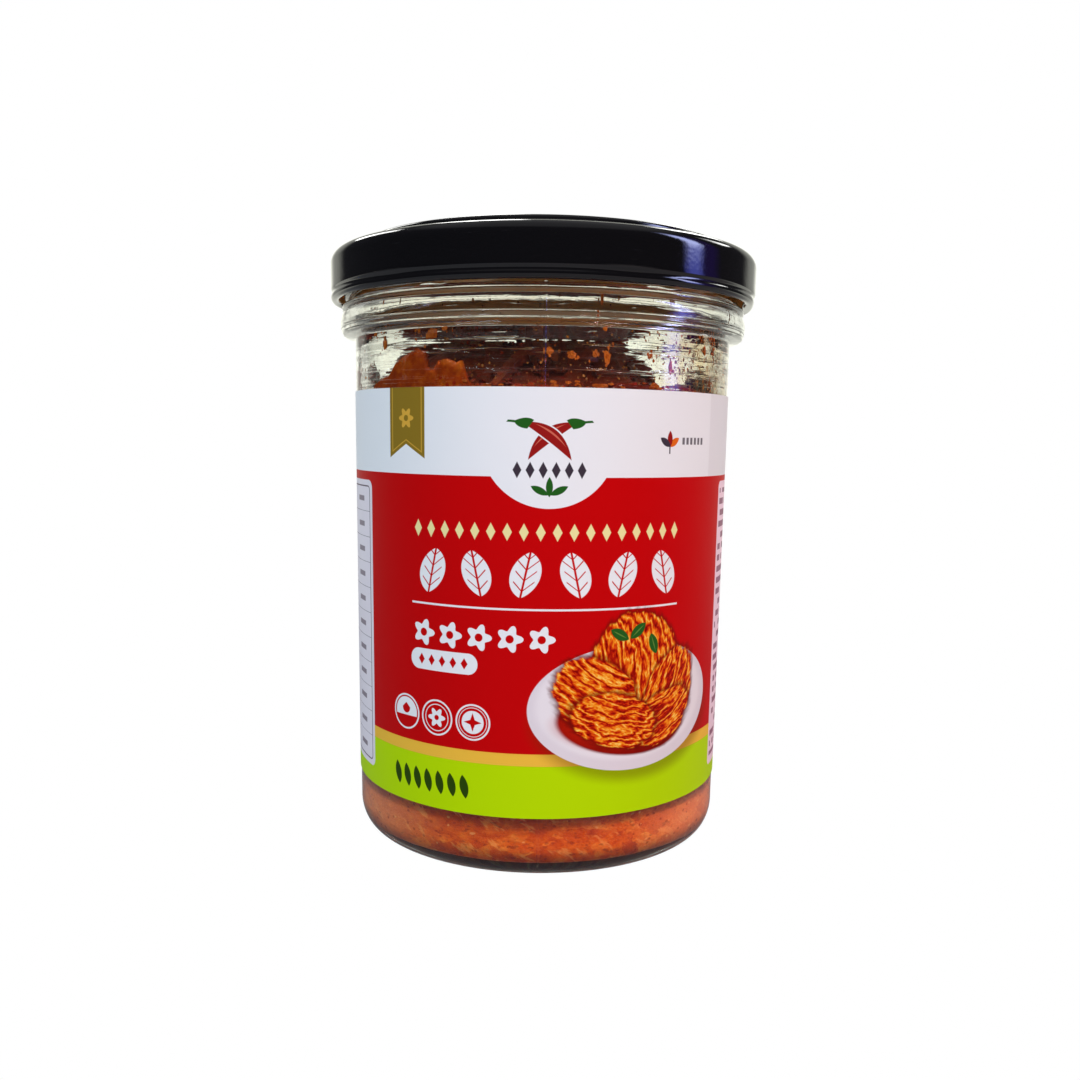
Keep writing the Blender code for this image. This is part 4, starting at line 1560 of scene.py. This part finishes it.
# Smears on the glass that the front shows: turn from the front's middle, height, width, height
SMEARS = (
    (-31.7, 98.3, 2.4, 1.9),
    (-33.6, 97.9, 1.2, 1.2),
    (-27.5, 99.2, 0.9, 1.3),
    (-36.6, 98.8, 0.7, 0.9),
    (-52.0, 97.0, 1.3, 2.1),
    (-56.7, 99.1, 0.8, 0.7),
    (-47.1, 104.0, 0.8, 0.7),
    (17.0, 99.2, 0.9, 1.2),
    (17.9, 94.4, 1.3, 2.6),
    (8.0, 94.6, 1.7, 1.4),
    (1.7, 95.1, 1.2, 1.6),
    (14.4, 94.8, 0.9, 1.2),
    (31.8, 95.0, 0.8, 0.7),
    (38.9, 93.2, 0.8, 2.8),
    (57.4, 99.6, 0.9, 1.9),
    (59.4, 99.2, 0.7, 1.5),
    (50.8, 99.2, 0.6, 0.8),
    (54.7, 96.8, 0.9, 1.8),
    (60.1, 97.0, 0.7, 1.9),
    (66.0, 103.8, 0.8, 2.0),
    (61.1, 104.4, 0.7, 1.2),
    (15.1, 103.6, 0.6, 1.8),
    (36.9, 103.7, 0.7, 0.6),
)


def make_wall_flecks():
    """Flecks, seeds and drops of sauce that cling to the inside of the glass over the kimchi."""
    draw = random.Random(31)
    smears = Scatter()
    for turn, height, across, tall in SMEARS:
        add_smear(smears, draw, math.radians(turn - 90.0), height * MM, across * MM, tall * MM)
    for number in range(EDGE_SMEAR_COUNT):
        turn = math.radians(draw.uniform(-112.0, -50.0))
        point, inward = wall_point(turn, draw.uniform(0.0886, 0.0902))
        size = draw.uniform(0.0004, 0.0019)
        tone = draw.uniform(0.0, 0.6)
        smears.chip(point, inward, UPRIGHT, size * 0.45, size, 0.0003, tone, 11, draw)
    for number in range(BACK_SMEAR_COUNT):
        turn = draw.uniform(0.0, math.pi)
        height = draw.uniform(0.092, 0.104)
        across = draw.uniform(0.0007, 0.0020)
        add_smear(smears, draw, turn, height, across, draw.uniform(0.0007, 0.0026))
    colours = (from_screen(112, 34, 4), from_screen(196, 100, 22))
    smears.piece("sauce_smears", fleck_finish("sauce_smear", *colours))
    specks = Scatter()
    for number in range(SPECK_COUNT):
        turn = draw.uniform(0.0, math.tau)
        point, inward = wall_point(turn, 0.0885 + 0.0165 * draw.random() ** 1.4)
        heading = UPRIGHT + inward.cross(UPRIGHT) * draw.uniform(-1.0, 1.0)
        size = 0.00008 + 0.00042 * draw.random() ** 3
        specks.chip(point, inward, heading, size * 1.3, size, size * 0.3, draw.random(), 6, draw)
    for number in range(RIGHT_SPECK_COUNT):
        turn = math.radians(draw.gauss(-36.0, 13.0))
        point, inward = wall_point(turn, draw.uniform(0.0888, 0.1000))
        size = 0.00010 + 0.00045 * draw.random() ** 4
        specks.chip(point, inward, UPRIGHT, size * 1.6, size, size * 0.2, draw.random(), 6, draw)
    colours = (from_screen(84, 44, 14), from_screen(166, 104, 44))
    specks.piece("wall_specks", fleck_finish("wall_speck", *colours))


# Studio

PLAIN_WHITE = (1.0, 1.0, 1.0)
FLOOR_HALF_WIDTH = 4.0
FLOOR_BRIGHTENS = (120.0, 420.0)
FLOOR_GLOW = 0.85


def stage_finish():
    """The pale floor: plain white to the camera, and to the jar dim in front and pale behind."""
    finish = Finish("pale_floor")
    x, y, z = finish.place()
    cloud = finish.noise(finish.vector(x, y, 0.0), 0.01, 2.0)
    tint = finish.mix((0.34, 0.34, 0.345), (0.38, 0.38, 0.38), cloud)
    paint = finish.add("ShaderNodeBsdfDiffuse", None, {"Color": tint}).outputs[0]
    behind = finish.step(y, *FLOOR_BRIGHTENS)
    floor = finish.either(behind, paint, finish.glow(BACKDROP, FLOOR_GLOW))
    seen = finish.add("ShaderNodeLightPath").outputs["Is Camera Ray"]
    return finish.close(finish.either(seen, floor, finish.glow(PLAIN_WHITE, 1.0)))


def make_floor():
    """A wide pale floor under the jar."""
    signs = ((-1, -1), (1, -1), (1, 1), (-1, 1))
    corners = [(x * FLOOR_HALF_WIDTH, y * FLOOR_HALF_WIDTH, 0.0) for x, y in signs]
    mesh = bpy.data.meshes.new("floor")
    mesh.from_pydata(corners, [], [(0, 1, 2, 3)])
    mesh.materials.append(stage_finish())
    floor = bpy.data.objects.new("floor", mesh)
    bpy.context.scene.collection.objects.link(floor)


ROOM_DIM = (0.045, 0.045, 0.050)
ROOM_SOFT = (0.25, 0.25, 0.25)
BACKDROP = (1.20, 1.21, 1.08)
BACKDROP_EDGE = 0.48
CEILING = (0.30, 0.30, 0.31)
WINDOW_TURN = 83.0
WINDOW_HALF_WIDTH = 8.8
WINDOW_LOW = (0.85, 1.0, 4.7)
WINDOW_HIGH = (7.4, 8.2, 14.6)
WINDOW_GLOW = (0.10, 0.05, 0.42)
WINDOW_GLOW_TURN = 89.0
WINDOW_GLOW_HALF_WIDTH = 16.0
CEILING_LAMP = (9.0, 9.0, 8.8)
LAMP_SPACING = 0.40
LAMP_OFFSET = 0.10


def make_sky():
    """Plain white to the camera; to the jar a dim room with a pale backdrop and a window."""
    world = bpy.data.worlds.new("studio")
    sky = Finish("studio", world)
    x, y, z = sky.split(sky.add("ShaderNodeTexCoord").outputs["Generated"])
    turn = sky.around(x, y) * DEGREES
    backdrop = sky.step(y, 0.60, 0.76) * BACKDROP_EDGE
    backdrop = backdrop + sky.step(y, 0.84, 0.94) * (1.0 - BACKDROP_EDGE)
    colour = sky.mix(ROOM_DIM, BACKDROP, backdrop)
    colour = sky.mix(colour, CEILING, sky.step(z, 0.72, 0.90))
    lamps = sky.step(z, 0.46, 0.50) * sky.step(z, 0.74, 0.70) * sky.step(y, 0.3, 0.5)
    past_lamp = sky.math("PINGPONG", x + (4.0 + LAMP_OFFSET), LAMP_SPACING / 2)
    colour = sky.mix(colour, CEILING_LAMP, lamps * sky.step(past_lamp, 0.08, 0.05))
    upward = sky.step(z, -0.16, -0.04) * sky.step(z, 0.80, 0.60)
    aside = abs(turn - WINDOW_GLOW_TURN)
    glow = sky.step(aside, WINDOW_GLOW_HALF_WIDTH, WINDOW_GLOW_HALF_WIDTH * 0.4)
    colour = sky.mix(colour, WINDOW_GLOW, glow * upward)
    window = sky.mix(WINDOW_LOW, WINDOW_HIGH, sky.step(z, 0.150, 0.235))
    across = sky.step(abs(turn - WINDOW_TURN), WINDOW_HALF_WIDTH, WINDOW_HALF_WIDTH * 0.2)
    colour = sky.mix(colour, window, across * upward)
    lit = sky.mix(ROOM_SOFT, BACKDROP, backdrop * 0.5)
    path = sky.add("ShaderNodeLightPath")
    colour = sky.mix(lit, colour, path.outputs["Is Glossy Ray"])
    room = sky.add("ShaderNodeBackground", None, {"Color": colour, "Strength": 1.0})
    plain = sky.add("ShaderNodeBackground", None, {"Color": PLAIN_WHITE, "Strength": 1.0})
    both = sky.either(path.outputs["Is Camera Ray"], room.outputs[0], plain.outputs[0])
    sky.add("ShaderNodeOutputWorld", None, {"Surface": both})
    bpy.context.scene.world = world


LAMP_SIZE = (0.60, 0.18)
LAMP_TARGET = (0.0, 0.0, 0.06)
LAMPS = (
    ("left_lamp", (-0.67, -0.67, 0.90), 9.9, (0.67, 0.85, 1.0)),
    ("right_lamp", (0.67, -0.67, 0.90), 12.0, (1.0, 0.82, 0.82)),
)


def make_lamps():
    """Two soft rectangular lamps, a cool one at the left and a warm one at the right."""
    for name, place, power, colour in LAMPS:
        data = bpy.data.lights.new(name, "AREA")
        data.shape = "RECTANGLE"
        data.size, data.size_y = LAMP_SIZE
        data.energy = power
        data.color = colour
        lamp = bpy.data.objects.new(name, data)
        lamp.visible_glossy = False
        lamp.location = place
        aim = Vector(LAMP_TARGET) - Vector(place)
        lamp.rotation_euler = aim.to_track_quat("-Z", "Y").to_euler()
        bpy.context.scene.collection.objects.link(lamp)


def make_camera():
    """The photograph's camera: close in, a little under the label's top edge, looking down."""
    level = math.cos(CAMERA_PITCH)
    forward = Vector((
        math.sin(CAMERA_YAW) * level,
        math.cos(CAMERA_YAW) * level,
        -math.sin(CAMERA_PITCH),
    ))
    right = forward.cross(UPRIGHT).normalized()
    up = right.cross(forward)
    rolled_right = right * math.cos(CAMERA_ROLL) + up * math.sin(CAMERA_ROLL)
    rolled_up = up * math.cos(CAMERA_ROLL) - right * math.sin(CAMERA_ROLL)
    data = bpy.data.cameras.new("camera")
    data.sensor_width = SENSOR_WIDTH
    data.lens = CAMERA_LENS
    data.shift_y = (IMAGE_CENTRE_ROW - IMAGE_SIZE / 2) / IMAGE_SIZE
    data.clip_start = 0.01
    data.clip_end = 50.0
    camera = bpy.data.objects.new("camera", data)
    matrix = Matrix((rolled_right, rolled_up, -forward)).transposed().to_4x4()
    matrix.translation = (0.0, -CAMERA_DISTANCE, CAMERA_HEIGHT)
    camera.matrix_world = matrix
    bpy.context.scene.collection.objects.link(camera)
    bpy.context.scene.camera = camera


make_glass()
make_cap()
make_label()
make_mash()
make_leaves()
make_strips()
make_flakes()
make_wall_flecks()
make_floor()
make_sky()
make_lamps()
make_camera()
bpy.context.scene.view_settings.view_transform = "Standard"
